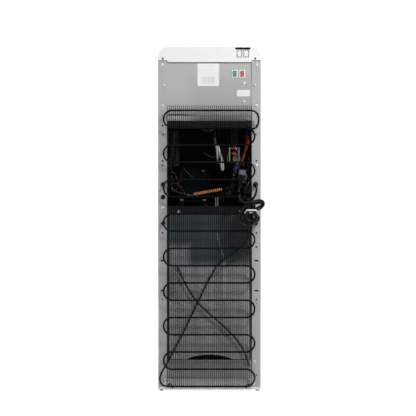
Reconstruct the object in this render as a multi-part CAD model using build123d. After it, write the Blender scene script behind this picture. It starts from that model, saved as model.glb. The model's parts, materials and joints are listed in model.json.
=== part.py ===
from build123d import *
import math
import os

# A bottom load water cooler with hot and cold taps, in millimetres.
# +Z is up, the taps and the door face -Y, and the condenser stands behind the cabinet at +Y.
# The origin is under the middle of the cooler, on the floor.

# ---- Overall size, without the power cord -------------------------------------------------
width = 310.0
depth = 360.0  # from the face of the door to the outermost tube behind the condenser
height = 1040.0

# ---- Sheet metal cabinet ------------------------------------------------------------------
sheet = 1.2
bend = 2.4  # outside radius of the side panels' folds
flange_width = 27.0  # rear flange of a side panel
return_width = 15.0  # front return of a side panel
side_play = 1.4  # between a panel's edge and the side panel beside it, clear of the fold
foot_height = 6.0
foot_d = 11.0
foot_inset = 9.0
rim_height = 7.0  # skirt round the base pan
cover_height = 41.0
cover_lip = 5.5  # how far the cover hangs down between the rear flanges
cover_wall = 2.5
cover_round = 31.0
cover_overhang = 2.5  # how far the cover stands out behind the flanges
base_wall_top = 95.0
base_step_top = 40.0
base_step = 3.0
shelf_top = 559.0  # the shelf that carries the compressor
shelf_lip = 22.6
apron_rise = 8.0  # of the shelf's front apron behind the fascia's lower edge
tank_shelf_under = 800.0  # the shelf that carries the cold tank
tank_shelf_lip = 16.5
upper_panel_under = 817.0
joggle_top = 833.0
joggle = 3.0
field_half_width = 122.0  # raised field of the lower rear panel
groove_depth = 5.0
arch_width = 151.0  # shallow arch in the lower edge of the lower rear panel
arch_height = 16.0
hole_d = 6.0
slot_length = 13.0
slot_height = 5.0
hole_inset = 13.5  # from the cabinet's side to the line of holes in a flange
shared_hole_heights = (802.5, 696.0, 478.0)
left_hole_heights = (682.0,)
right_hole_heights = (436.0,)
slot_heights = (394.5, 304.0)

# ---- Front: fascia, alcove, taps and drip tray --------------------------------------------
front_depth = 30.0  # of the fascia, and of the door with its gap
front_round = 12.0
wall = 2.5
fascia_under = 590.0
alcove_width = 190.0
alcove_floor = 625.0
alcove_ceiling = 850.0
tank_to_alcove = 5.5  # between the cold tank's foam and the alcove
panel_width = 220.0  # recessed control panel
panel_height = 96.0
panel_drop = 31.0  # of its top under the fascia's
panel_recess = 4.0
panel_thickness = 3.0
button_width = 40.0
button_height = 26.0
button_spacing = 62.0
button_play = 0.3
button_travel = 3.0
button_lip = 1.5
board_thickness = 1.6
board_inset = 5.0  # of the circuit board inside the fascia's rear edge
boss_x, boss_d = 84.0, 8.0  # the bosses that the board sits on
microswitch_depth = 6.0
spout_spacing = 52.0
spout_d = 16.0
spout_bore = 8.0
spout_length = 38.0
spout_inset = 52.0  # from the front
tray_height = 22.0
tray_play = 0.5
grille_thickness = 3.0
grille_slots = 9

# ---- Door ---------------------------------------------------------------------------------
door_thickness = 26.0
door_gap = 4.0  # above the door
hinge_inset = 8.0  # from the pin's axis to the door's side and back
pin_d = 6.0
pin_play = 0.05
pin_length = 16.0
hinge_plate = 3.0
fit = 0.2  # round a plate that drops into a recess
liner_thickness = 2.0
grip_width = 24.0
grip_length = 120.0
grip_depth = 13.0
magnet_thickness = 3.4

# ---- Bottle probe and pump ----------------------------------------------------------------
probe_side = 34.0  # from the cabinet's side to the probe's axis
probe_back = 42.0  # from the rear panels to it
probe_drop = 110.0  # of the probe's cap under the shelf
probe_cap_d = 50.0
probe_cap_height = 26.0
probe_tube_d = 12.0
probe_tube_length = 400.0
probe_neck = 12.0  # that the hose fits on, above the cap
pump_x = -92.0
pump_size = 48.0
pump_height = 30.0
motor_d = 34.0
motor_length = 46.0

# ---- Condenser and its lines --------------------------------------------------------------
tube_d = 5.6
wire_d = 1.6
wire_sides = 4
wire_count = 42
wire_pitch = 6.16
weld_gap = 0.05
line_gap = 0.3
runs = 17
run_pitch = 51.85
lowest_run = 17.2
bend_line = 110.9  # distance from the middle to where the runs end and the bends begin
bend_shift = 1.2  # of all the bends towards +X
wire_shift = 0.7  # of all the wires towards +X
run_end = 118.0  # where the first and the last run meet their lines
wire_under = 15.7
wire_top = 861.3
stand_off = 15.4  # from the flanges to the wires
clip_height = 507.0
clip_size = 13.0
hook_width = 3.0

# ---- Compressor bay -----------------------------------------------------------------------
compressor_x = 50.0
compressor_gap = 5.1  # to the filter drier behind it
compressor_long = 150.0
compressor_short = 120.0
compressor_tall = 127.0  # from the shelf to the top of its dome
shell_inset = 2.0  # of the drawn shell from its weld bead
dome_round = 30.0
cup_round = 16.0
seam_rise = 63.0  # from the shelf to its welded seam
port_rise = 49.0  # from the shelf to the port of the suction line
foot_spacing_x = 69.0
foot_spacing_y = 124.0
grommet_height = 14.0
foot_plate = 2.5
drier_d = 11.0
drier_length = 62.0
capillary_d = 2.4
suction_d = 12.0  # of the suction line with its foam sleeve
capillary_turns = 2
capillary_loop = 20.0
coil_x, coil_rise = 106.0, 60.0  # middle of the capillary's coil, across and over the shelf
relay_depth = 26.0
relay_gap = 0.05  # between a fitting and the shell it is fixed to
box_x, box_z = -75.0, 692.0  # middle and underside of the terminal box
box_width, box_height, box_depth = 34.0, 45.0, 24.0
box_inset = 30.0  # of its tab from the panels behind
pipe_slots = ((62.0, 124.0), (-48.0, 4.0), (-134.0, -96.0))  # in the tank's shelf, from side to side
hot_x = -70.0
hot_tank_d = 96.0
hot_tank_height = 125.0
cold_tank_d = 150.0
cold_tank_height = 150.0
foam = 18.0  # added to the tank's diameter by its jacket
pipe_gap = 6.4
tank_wall = 1.5
hose_d = 7.0
drain_d = 5.0
drain_high = (98.0, 378.0)  # the drain hose's upper hole, across and up
drain_low = (-121.0, 77.0)
hose_play = 0.6  # round a hose in its hole
harness_d = 2.6

# ---- Rocker switches ----------------------------------------------------------------------
switch_x = -87.4
switch_z = 958.6
switch_spacing = 22.8
bezel_width = 18.0
bezel_height = 24.0
bezel_thickness = 2.0
switch_depth = 20.0
rocker_width = 11.0
rocker_half = 8.2
rocker_tilt = 9.0
rocker_play = 0.3
rocker_pin_d = 2.4
rocker_pin_reach = 1.1  # of each pin into the housing's wall

# ---- Power cord ---------------------------------------------------------------------------
cord_d = 6.8
cord_sides = 6
grommet_d = 13.0
grommet_x = -139.2
grommet_z = 624.2
grommet_reach = 22.0
# each turn's hanging loop: its radius, and how far it lies to the right of the others
hank_loops = ((25.0, 0.0), (13.0, 0.0), (20.0, 9.5), (15.0, 0.0), (26.0, 0.0))
hank_pitch = 7.9
hank_x = -121.7  # middle of the tie
hank_z = 545.7
lobe_length = 38.5
lobe_heights = (17.0, 14.5)  # of the lobes of even and odd turns
tie_height = 4.5
tie_drop = 2.0  # of its middle below the hank's waist
tie_thickness = 1.4
plug_x, plug_z = -90.3, 617.0  # where the cord meets the plug
plug_width = 24.0
plug_thickness = 18.0
plug_length = 36.0
plug_tilt = 10.0
cap_height = 15.0

# ---- Screws -------------------------------------------------------------------------------
# in from the cabinet's side and up, then across and up
flange_screws = ((12.8, 986.0), (18.0, 925.0), (12.8, 863.0), (13.7, 555.0), (21.8, 24.0))
panel_screws = ((-104.2, 929.3), (-104.2, 874.3), (92.4, 543.0), (-92.4, 543.0))
screw_thickness = 2.2
flange_screw_d = 8.0
panel_screw_d = 7.0

# ---- Places worked out from the sizes ------------------------------------------------------
half_w = width / 2
front_y = -depth / 2
line_y = depth / 2 - tube_d / 2  # the line that runs down outside the wires
tube_y = line_y - tube_d - line_gap - wire_d - weld_gap
edge_x = wire_shift - wire_pitch * (wire_count - 1) / 2  # the wire nearest -X
outer_wire_y = tube_y + (tube_d + wire_d) / 2 + weld_gap
inner_wire_y = tube_y - (tube_d + wire_d) / 2 - weld_gap
back_y = inner_wire_y - wire_d / 2 - stand_off  # rear face of the flanges
panel_y = back_y - sheet  # rear face of what lies behind the flanges
cabinet_y = front_y + front_depth  # front face of the side panels
rim_top = foot_height + rim_height
cabinet_top = height - cover_height
inside_x = half_w - sheet
panel_top = cabinet_top - panel_drop
panel_under = panel_top - panel_height
run_z = [lowest_run + run_pitch * (runs - 1 - n) for n in range(runs)]
probe_x, probe_y = -half_w + probe_side, panel_y - probe_back
probe_cap_z = shelf_top - probe_drop
seam_height = shelf_top + seam_rise
compressor_top = shelf_top + compressor_tall
box_y = panel_y - box_inset
switch_places = (switch_x + switch_spacing / 2, switch_x - switch_spacing / 2)
rocker_cavity = rocker_width + 2 * rocker_play


def block(x, y, z, corner=0.0, along=Axis.Z):
    """A box between three pairs of limits, its edges along one axis rounded."""
    size = (x[1] - x[0], y[1] - y[0], z[1] - z[0])
    body = Pos((x[0] + x[1]) / 2, (y[0] + y[1]) / 2, (z[0] + z[1]) / 2) * Box(*size)
    return fillet(body.edges().filter_by(along), corner) if corner else body


def rod(start, towards, length, diameter, sides=0):
    """A straight round bar, or one with flat sides, from a point in a direction."""
    plane = Plane(origin=start, z_dir=towards)
    face = RegularPolygon(diameter / 2, sides) if sides else Circle(diameter / 2)
    return extrude(plane * face, length)


def stub(centre, lower_d, upper_d, tall, sides=8):
    """A tapered stub with flat sides, standing on a point."""
    lower = Pos(*centre) * RegularPolygon(lower_d / 2, sides)
    upper = Pos(centre[0], centre[1], centre[2] + tall) * RegularPolygon(upper_d / 2, sides)
    return loft([lower, upper], ruled=True)


def turn_radii(points, share=0.45, largest=1000.0):
    """The radius of each corner of a route, as large as its two runs allow."""
    found = []
    for before, corner, after in zip(points, points[1:], points[2:]):
        arriving = Vector(*corner) - Vector(*before)
        leaving = Vector(*after) - Vector(*corner)
        half_turn = math.radians(arriving.get_angle(leaving)) / 2
        shorter = min(arriving.length, leaving.length)
        found.append(min(share * shorter / math.tan(half_turn), largest))
    return found


def bent_tube(points, diameter, radii, sides=6):
    """A tube of straight runs joined by tangent arcs."""
    path = FilletPolyline(*points, radius=radii)
    section = Plane(origin=path @ 0, z_dir=path % 0) * RegularPolygon(diameter / 2, sides)
    return sweep(section, path=path), path


def middle(a, b):
    """The point halfway along a run."""
    return tuple((p + q) / 2 for p, q in zip(a, b))


# ---- Cabinet ------------------------------------------------------------------------------
def side_panel(side, hole_heights, cord_hole):
    """One folded side: a wall, a rear flange with its punched holes and a front return."""
    tall = (rim_top, cabinet_top)
    shell = block((0, half_w), (cabinet_y, back_y), tall)
    shell = fillet(shell.edges().filter_by(Axis.Z).group_by(Axis.X)[-1], bend)
    hollow = block((-1, inside_x), (cabinet_y + sheet, back_y - sheet), tall)
    hollow = fillet(hollow.edges().filter_by(Axis.Z).group_by(Axis.X)[-1], bend - sheet)
    shell -= hollow
    shell -= block((-1, half_w - return_width), (cabinet_y - 1, back_y - bend - sheet), tall)
    shell -= block((-1, half_w - flange_width), (0, back_y + 1), tall)
    for z in hole_heights:
        shell -= rod((half_w - hole_inset, back_y - 2 * bend, z), (0, 1, 0), 3 * bend, hole_d)
    for z in slot_heights:
        middle_x = half_w - hole_inset
        shell -= block(
            (middle_x - slot_length / 2, middle_x + slot_length / 2),
            (back_y - 2 * bend, back_y + bend),
            (z - slot_height / 2, z + slot_height / 2),
            slot_height * 0.45,
            Axis.Y,
        )
    if side < 0:
        shell = mirror(shell, about=Plane.YZ)
    if cord_hole:
        start = (grommet_x, back_y - 2 * bend, grommet_z)
        shell -= rod(start, (0, 1, 0), 3 * bend, grommet_d - 3 + 0.3)
    return shell


def base_pan():
    """The pressed base: a deck with a skirt all round and a rear wall with a stepped lower band."""
    deck = block((-half_w, half_w), (cabinet_y, back_y), (foot_height, rim_top))
    hollow = (rim_top - rim_height - 1, rim_top - sheet)
    deck -= block((-inside_x, inside_x), (cabinet_y + sheet, back_y - sheet), hollow)
    reach = inside_x - side_play
    wall_plate = block((-reach, reach), (panel_y - sheet, panel_y), (rim_top, base_wall_top))
    band_half = half_w - flange_width - side_play
    band = (rim_top, base_step_top)
    wall_plate += block((-band_half, band_half), (panel_y, panel_y + base_step + sheet), band)
    inner = (rim_top - 1, base_step_top - sheet)
    cut_half = band_half - sheet
    wall_plate -= block((-cut_half, cut_half), (panel_y - sheet - 1, panel_y + base_step), inner)
    return deck + wall_plate - drain_hole(drain_low)


def drain_hole(place):
    """The hole that the drain hose goes through, in either of the two plates."""
    return rod((place[0], panel_y - 3 * sheet, place[1]), (0, 1, 0), 6 * sheet, drain_d + hose_play)


def feet():
    """Four short rubber stubs under the corners of the base pan."""
    x = half_w - foot_inset
    places = [(side * x, y) for side in (-1, 1) for y in (cabinet_y + 20, back_y - 20)]
    return [stub((*place, 0), foot_d, foot_d + 3, rim_top - sheet) for place in places]


def mid_shelf():
    """The shelf between the bottle and the compressor, with a lip at the back and an apron at the front."""
    reach = inside_x - side_play
    span = (cabinet_y + sheet, panel_y)
    deck = block((-reach, reach), span, (shelf_top - sheet, shelf_top))
    under = (shelf_top - shelf_lip, shelf_top - sheet)
    back_lip = block((-reach, reach), (panel_y - sheet, panel_y), under)
    apron = block((-reach, reach), (span[0], span[0] + sheet), (under[0], fascia_under + apron_rise))
    hose_hole = rod((probe_x, probe_y, shelf_top - 2 * sheet), (0, 0, 1), 4 * sheet, hose_d + hose_play)
    return deck + back_lip + apron - hose_hole


def lower_rear_panel():
    """The plate behind the bottle, with a pressed groove at each side and an arch in its lower edge."""
    reach = inside_x - side_play
    tall = (base_wall_top, shelf_top - shelf_lip)
    plate = block((-reach, reach), (panel_y - sheet, panel_y), tall)
    groove_half = (half_w - flange_width - field_half_width) / 2
    for side in (-1, 1):
        x = side * (field_half_width + groove_half)
        around = (x - groove_half - sheet, x + groove_half + sheet)
        plate += block(around, (panel_y - groove_depth - sheet, panel_y), tall)
        plate -= block((x - groove_half, x + groove_half), (panel_y - groove_depth, panel_y + 1), tall)
    arch_r = arch_width**2 / (8 * arch_height) + arch_height / 2
    centre = (0, panel_y - 4 * sheet, base_wall_top + arch_height - arch_r)
    plate -= rod(centre, (0, 1, 0), 8 * sheet, 2 * arch_r)
    return plate - drain_hole(drain_high)


def tank_shelf():
    """The shelf under the cold tank, slotted for the pipes, with a rear lip and a terminal box tab."""
    reach = inside_x - side_play
    deck = block((-reach, reach), (alcove_back + 0.5, panel_y), (tank_shelf_under, tank_shelf_under + sheet))
    lip = (tank_shelf_under, tank_shelf_under + tank_shelf_lip)
    deck += block((-reach, reach), (panel_y - sheet, panel_y), lip)
    for low, high in pipe_slots:
        deck -= block((low, high), (slot_y - slot_half, slot_y + slot_half), lip, 10)
    tab = (box_x - 10, box_x + 10)
    return deck + block(tab, (box_y - sheet, box_y), (box_z, tank_shelf_under))


def upper_rear_panel():
    """The plate behind the cold tank, joggled inwards along its lower edge, with two switch holes."""
    reach = inside_x - side_play
    plate = block((-reach, reach), (panel_y - sheet, panel_y), (joggle_top, cabinet_top))
    strip = (panel_y - joggle - sheet, panel_y - joggle)
    plate += block((-reach, reach), strip, (upper_panel_under, joggle_top))
    web = (joggle_top, joggle_top + sheet)
    plate += block((-reach, reach), (panel_y - joggle - sheet, panel_y), web)
    for place in switch_places:
        plate -= switch_block(place, rocker_cavity + 3.2, -10, 5)
    return plate


def cover_form(inset):
    """The outside of the top cover, or its inside when inset by the wall."""
    span = (front_y + inset, back_y + cover_overhang - inset)
    form = block((-half_w + inset, half_w - inset), span, (cabinet_top - inset, height - inset))
    tops = form.edges().filter_by(Axis.Y).group_by(Axis.Z)[-1]
    form = fillet(tops, cover_round - inset)
    front_top = form.edges().filter_by(Axis.X).group_by(Axis.Z)[-1].sort_by(Axis.Y)[0]
    return chamfer(front_top, 6)


def top_cover():
    """The moulded top: a shell with rounded shoulders, and a lip that hangs between the flanges."""
    shell = cover_form(0) - cover_form(cover_wall)
    lip_half = half_w - flange_width - 1
    behind = (back_y + cover_overhang - cover_wall, back_y + cover_overhang)
    return shell + block((-lip_half, lip_half), behind, (cabinet_top - cover_lip, cabinet_top))


# ---- Front --------------------------------------------------------------------------------
slot_half = 11.0  # half the depth of the pipe slots in the tank's shelf
slot_y = panel_y - sheet - 19.0
cold_x, cold_y = 0.0, slot_y - slot_half - pipe_gap - (cold_tank_d + foam) / 2
alcove_back = cold_y - (cold_tank_d + foam) / 2 - tank_to_alcove
fascia_y = front_y + wall  # inside of the fascia's front wall
button_x = [-button_spacing, 0.0, button_spacing]
button_z = (panel_under + panel_top) / 2
board_y = cabinet_y - board_inset
spout_x = (-spout_spacing, 0.0, spout_spacing)
spout_y = front_y + spout_inset


def front_fascia():
    """The moulded upper front: a shell open to the rear, with an alcove opening and a recess."""
    tall = (fascia_under, cabinet_top)
    shell = block((-half_w, half_w), (front_y, cabinet_y), tall)
    shell = fillet(shell.edges().filter_by(Axis.Z).group_by(Axis.Y)[0], front_round)
    inside = (tall[0] + wall, tall[1] - wall)
    hollow = block((-half_w + wall, half_w - wall), (fascia_y, cabinet_y + 1), inside)
    hollow = fillet(hollow.edges().filter_by(Axis.Z).group_by(Axis.Y)[0], front_round - wall)
    half = panel_width / 2
    recess_y = front_y + panel_recess
    around = (panel_under - wall, panel_top + wall)
    hollow -= block((-half - wall, half + wall), (front_y, recess_y + wall), around)
    shell -= hollow
    shell -= block((-half, half), (front_y - 1, recess_y), (panel_under, panel_top))
    opening = (-alcove_width / 2, alcove_width / 2)
    shell -= block(opening, (front_y - 1, fascia_y + 1), (alcove_floor, alcove_ceiling))
    for x in button_x:
        shell -= button_block(x, 0, recess_y - 1, recess_y + wall + 1)
    for x in (-boss_x, boss_x):
        for z in (panel_under + 10, panel_top - 10):
            start = (x, recess_y + wall - 0.5, z)
            shell += rod(start, (0, 1, 0), board_y - board_thickness - start[1], boss_d, 6)
    return shell


def button_block(x, grow, low_y, high_y):
    """A block with the outline of a tap button, grown on all sides."""
    half_x = button_width / 2 + grow
    half_z = button_height / 2 + grow
    tall = (button_z - half_z, button_z + half_z)
    return block((x - half_x, x + half_x), (low_y, high_y), tall, 5 + grow, Axis.Y)


def control_panel():
    """The glossy plate that fills the recess, with a window for each button."""
    half = panel_width / 2 - fit
    recess_y = front_y + panel_recess
    tall = (panel_under + fit, panel_top - fit)
    plate = block((-half, half), (recess_y - panel_thickness, recess_y), tall)
    for x in button_x:
        plate -= button_block(x, 0, front_y - 1, recess_y + 1)
    return plate


def tap_button(x):
    """One push button: a cap, a retaining lip behind the fascia and a stem to its microswitch."""
    wall_back = front_y + panel_recess + wall
    cap = button_block(x, -button_play, front_y, wall_back + button_play)
    half_x, half_z = button_width / 2 + button_lip, button_height / 2 + button_lip
    back = (wall_back + button_play, wall_back + button_play + 2)
    lip = block((x - half_x, x + half_x), back, (button_z - half_z, button_z + half_z))
    start = (x, wall_back + button_play + 2, button_z)
    stem_end = board_y - board_thickness - microswitch_depth - button_travel - button_play
    return cap + lip + rod(start, (0, 1, 0), stem_end - start[1], 7.0, 6)


def button_board():
    """The circuit board on the fascia's four bosses, with a small switch behind each button's stem."""
    face = board_y - board_thickness
    board = block((-boss_x - boss_d, boss_x + boss_d), (face, board_y), (panel_under + 4, panel_top - 4))
    switches = [
        block((x - 10, x + 10), (face - microswitch_depth, face), (button_z - 5, button_z + 5))
        for x in button_x
    ]
    return [board] + switches


def alcove():
    """The dark moulded box that the cup stands in, open to the front, with a hole for each spout."""
    half = alcove_width / 2
    tall = (alcove_floor - wall, alcove_ceiling + wall)
    outer = block((-half - wall, half + wall), (fascia_y, alcove_back), tall)
    inner = block((-half, half), (fascia_y - 1, alcove_back - wall), (alcove_floor, alcove_ceiling))
    inner = fillet(inner.edges().filter_by(Axis.Z).group_by(Axis.Y)[-1], 20)
    box = outer - inner
    for x in spout_x:
        box -= rod((x, spout_y, alcove_ceiling - 1), (0, 0, 1), wall + 2, spout_bore + 5, 8)
    return box


def spouts():
    """Three taper nozzles under the alcove's ceiling, each with a bored neck that goes up through it."""
    found = []
    for x in spout_x:
        low = alcove_ceiling - spout_length
        nozzle = stub((x, spout_y, low), spout_d - 4, spout_d, spout_length)
        nozzle += rod((x, spout_y, alcove_ceiling), (0, 0, 1), wall + 12, spout_bore + 4.4, 8)
        nozzle -= rod((x, spout_y, low - 1), (0, 0, 1), spout_length + wall + 14, spout_bore, 8)
        found.append(nozzle)
    return found


tray_half = alcove_width / 2 - tray_play
tray_floor = alcove_floor + 0.3
tray_top = tray_floor + tray_height


def drip_tray():
    """A shallow tray that slides out of the alcove, with a finger lip along its front."""
    span = (front_y, alcove_back - wall - 1.0)
    body = block((-tray_half, tray_half), span, (tray_floor, tray_top))
    body = fillet(body.edges().filter_by(Axis.Z).group_by(Axis.Y)[-1], 20)
    half = tray_half - wall
    inner = block((-half, half), (span[0] + 9, span[1] - wall), (tray_floor + wall, tray_top + 1))
    inner = fillet(inner.edges().filter_by(Axis.Z).group_by(Axis.Y)[-1], 20 - wall)
    half = tray_half - 1.2
    ledge = block((-half, half), (span[0] + 7.7, span[1] - 1.2), (tray_top - grille_thickness, tray_top + 1))
    ledge = fillet(ledge.edges().filter_by(Axis.Z).group_by(Axis.Y)[-1], 18.8)
    finger = block((-30, 30), (span[0] - 1, span[0] + 5), (tray_floor - 1, tray_floor + 12), 4, Axis.Y)
    return body - inner - ledge - finger


def drip_grille():
    """The slotted plate that drops on the tray's ledge."""
    play = 0.2
    x = tray_half - 1.2 - play
    span = (front_y + 7.7 + play, alcove_back - wall - 2.2 - play)
    plate = block((-x, x), span, (tray_top - grille_thickness, tray_top))
    plate = fillet(plate.edges().filter_by(Axis.Z).group_by(Axis.Y)[-1], 18.6)
    pitch = (2 * x - 24) / grille_slots
    for n in range(grille_slots):
        low = -x + 12 + pitch * n + pitch * 0.25
        plate -= block((low, low + pitch * 0.5), (span[0] + 12, span[1] - 14), (tray_top - 5, tray_top + 1))
    return plate


# ---- Door ---------------------------------------------------------------------------------
door_under = rim_top + hinge_plate + 1.0
door_top = fascia_under - door_gap
door_y = front_y + door_thickness  # back of the door
hinge_x = half_w - hinge_inset
hinge_y = door_y - hinge_inset
grip_z = door_top - 130.0


def front_door():
    """The hinged lower front: a shell with a grip cup near its free edge and a boss round each pin."""
    tall = (door_under, door_top)
    form = block((-half_w, half_w), (front_y, door_y), tall)
    form = fillet(form.edges().filter_by(Axis.Z).group_by(Axis.Y)[0], front_round)
    form = fillet(form.edges().filter_by(Axis.Z).group_by(Axis.Y)[-1], hinge_inset)
    cavity = block((-half_w + wall, half_w - wall), (fascia_y, door_y + 1), (tall[0] + wall, tall[1] - wall))
    cavity = fillet(cavity.edges().filter_by(Axis.Z).group_by(Axis.Y)[0], front_round - wall)
    cavity -= block((half_w - 2 * hinge_inset, half_w), (front_y, door_y + 2), tall)
    grip_x = -half_w + 34
    cavity -= block(
        (grip_x - grip_width / 2 - wall, grip_x + grip_width / 2 + wall),
        (front_y, front_y + grip_depth + wall),
        (grip_z - grip_length / 2 - wall, grip_z + grip_length / 2 + wall),
    )
    cup = block(
        (grip_x - grip_width / 2, grip_x + grip_width / 2),
        (front_y - 1, front_y + grip_depth),
        (grip_z - grip_length / 2, grip_z + grip_length / 2),
        8,
        Axis.Y,
    )
    shell = form - cavity - cup
    for z, up in ((tall[0] - 1, 1), (tall[1] + 1, -1)):
        shell -= rod((hinge_x, hinge_y, z), (0, 0, up), pin_length + 2, pin_d + 2 * pin_play)
    return shell


def door_liner():
    """The plate that closes the back of the door, inside its rim."""
    side = fit + wall
    tall = (door_under + side, door_top - side)
    x = (-half_w + side + 6, half_w - 2 * hinge_inset - fit)
    return block(x, (door_y - liner_thickness, door_y), tall)


def door_magnet():
    """A flat magnet on the door's free edge, which meets the side panel's return."""
    x = -half_w + return_width / 2 + 4.5
    return block((x - 5, x + 5), (door_y, door_y + magnet_thickness), (grip_z - 35, grip_z + 35))


def hinge_brackets():
    """Two steel ears on the cabinet, each with the pin that the door turns on."""
    found = []
    ears = ((door_under - 1.0 - hinge_plate, 1), (door_top + 0.6, -1))
    for z, up in ears:
        ear = block((hinge_x - 7, hinge_x + 7), (hinge_y - 7, cabinet_y), (z, z + hinge_plate))
        foot = (z + hinge_plate - 20, z + hinge_plate) if up < 0 else (z, z + 20)
        ear += block((hinge_x - 7, hinge_x + 7), (cabinet_y - sheet, cabinet_y), foot)
        start = z + hinge_plate / 2
        length = hinge_plate / 2 + 1.0 + pin_length - 1
        found.append(ear + rod((hinge_x, hinge_y, start), (0, 0, up), length, pin_d))
    return found


# ---- Bottle probe -------------------------------------------------------------------------
def bottle_probe():
    """The cap that seals the bottle's neck, with the dip tube that draws from the bottom."""
    top = probe_cap_z + probe_cap_height
    cap = stub((probe_x, probe_y, probe_cap_z), probe_cap_d, probe_cap_d - 8, probe_cap_height, 16)
    cap -= rod((probe_x, probe_y, probe_cap_z - 1), (0, 0, 1), probe_cap_height - 7, probe_cap_d - 12, 16)
    cap += rod((probe_x, probe_y, top), (0, 0, 1), probe_neck, probe_tube_d)
    down = (probe_x, probe_y, top - 6)
    dip = rod(down, (0, 0, -1), probe_tube_length, probe_tube_d)
    return cap + dip


def probe_clip():
    """The plastic hook on the side panel that the probe hangs in."""
    z = probe_cap_z - 14.0
    plate = block((-inside_x, probe_x + 12), (probe_y - 12, probe_y + 12), (z, z + 6), 3)
    plate += block((-inside_x, -inside_x + 3), (probe_y - 12, probe_y + 12), (z - 20, z + 20))
    neck = probe_tube_d / 2 + 0.4
    plate -= rod((probe_x, probe_y, z - 1), (0, 0, 1), 8, 2 * neck)
    plate -= block((probe_x - neck, probe_x + neck), (probe_y, probe_y + 20), (z - 1, z + 7))
    return plate


def probe_hose():
    """The clear hose from the cap up through the shelf to the pump."""
    start = (probe_x, probe_y, probe_cap_z + probe_cap_height + probe_neck)
    points = [
        start,
        (probe_x, probe_y, shelf_top + 18),
        (probe_x, probe_y - 40, shelf_top + 30),
        (pump_x, pump_y + pump_size / 2 + 8, shelf_top + pump_port),
        (pump_x, pump_y + pump_size / 2 + 0.2, shelf_top + pump_port),
    ]
    return bent_tube(points, hose_d, [14, 18, 3])[0]


pump_y = alcove_back + pump_size / 2 + 16.5
pump_port = pump_height / 2 + 1  # height of its ports over the shelf


def water_pump():
    """The small diaphragm pump: a square head on the shelf under a round motor."""
    half = pump_size / 2
    head_top = shelf_top + pump_height
    head = block((pump_x - half, pump_x + half), (pump_y - half, pump_y + half), (shelf_top, head_top), 6)
    return head + rod((pump_x, pump_y, head_top), (0, 0, 1), motor_length, motor_d)


# ---- Compressor ---------------------------------------------------------------------------
drier_y = panel_y - 10.0
compressor_y = drier_y - drier_d / 2 - compressor_gap - compressor_short / 2
plate_z = shelf_top + grommet_height  # underside of the compressor's foot plate
relay_x = compressor_x - compressor_long / 2 + shell_inset - relay_gap - relay_depth
foot_places = [
    (compressor_x + sx * foot_spacing_x / 2, compressor_y + sy * foot_spacing_y / 2)
    for sx in (-1, 1)
    for sy in (-1, 1)
]


def oval(z, inset):
    """The compressor's oval outline at a height."""
    long, short = compressor_long - 2 * inset, compressor_short - 2 * inset
    return Pos(compressor_x, compressor_y, z) * SlotOverall(long, short)


def rounded_end(edge_z, corner, up):
    """The drawn corner of the shell: its outlines from the straight wall in to the flat end."""
    steps = [math.radians(90 * n / 3) for n in range(4)]
    return [
        oval(edge_z + up * corner * math.sin(a), shell_inset + corner * (1 - math.cos(a))) for a in steps
    ]


def compressor_lower():
    """The deep drawn lower cup, that the upper half is welded over."""
    low = plate_z + foot_plate
    cup = extrude(oval(low + cup_round, shell_inset), seam_height - low - cup_round)
    return cup + loft(rounded_end(low + cup_round, cup_round, -1), ruled=True)


def compressor_upper():
    """The domed upper half, with its weld bead round the seam."""
    shoulder = compressor_top - dome_round
    dome = extrude(oval(seam_height, shell_inset), shoulder - seam_height)
    dome += loft(rounded_end(shoulder, dome_round, 1), ruled=True)
    return dome + extrude(oval(seam_height, 0), 7)


def compressor_feet():
    """The pressed foot plate under the shell."""
    half_x = foot_spacing_x / 2 + 13
    half_y = foot_spacing_y / 2 + 13
    x = (compressor_x - half_x, compressor_x + half_x)
    y = (compressor_y - half_y, compressor_y + half_y)
    return block(x, y, (plate_z, plate_z + foot_plate), 12)


def compressor_grommets():
    """Four tapered rubber feet between the shelf and the foot plate."""
    return [stub((*place, shelf_top), 26, 17, grommet_height) for place in foot_places]


def compressor_bolts():
    """The hexagon heads of the four bolts that hold the foot plate down on its grommets."""
    return [rod((*place, plate_z + foot_plate), (0, 0, 1), 4.5, 11.5, 6) for place in foot_places]


def relay_cover():
    """The plastic cover over the starting relay, on the side of the compressor."""
    y = compressor_y
    return block((relay_x, relay_x + relay_depth), (y - 20, y + 24), (plate_z + 6, seam_height - 3), 6)


drier_start = (48.0, drier_y, shelf_top + 36.3)
drier_slope = (-0.985, 0.0, 0.174)


def filter_drier():
    """The copper filter drier: a round shell drawn down to a neck at each end."""
    plane = Plane(origin=drier_start, x_dir=(0, 1, 0), z_dir=drier_slope)
    neck, body = capillary_d * 0.9, drier_d / 2
    profile = [(0, 0), (neck, 0), (neck, 6), (body, 14), (body, 14 + drier_length)]
    profile += [(tube_d / 2, 22 + drier_length), (0, 22 + drier_length)]
    outline = Plane.XZ * make_face(Polyline(*profile, close=True))
    return plane.location * revolve(outline, Axis.Z)


def drier_end():
    """Where the line from the condenser meets the drier."""
    reach = 22 + drier_length
    return tuple(p + reach * d for p, d in zip(drier_start, drier_slope))


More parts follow.
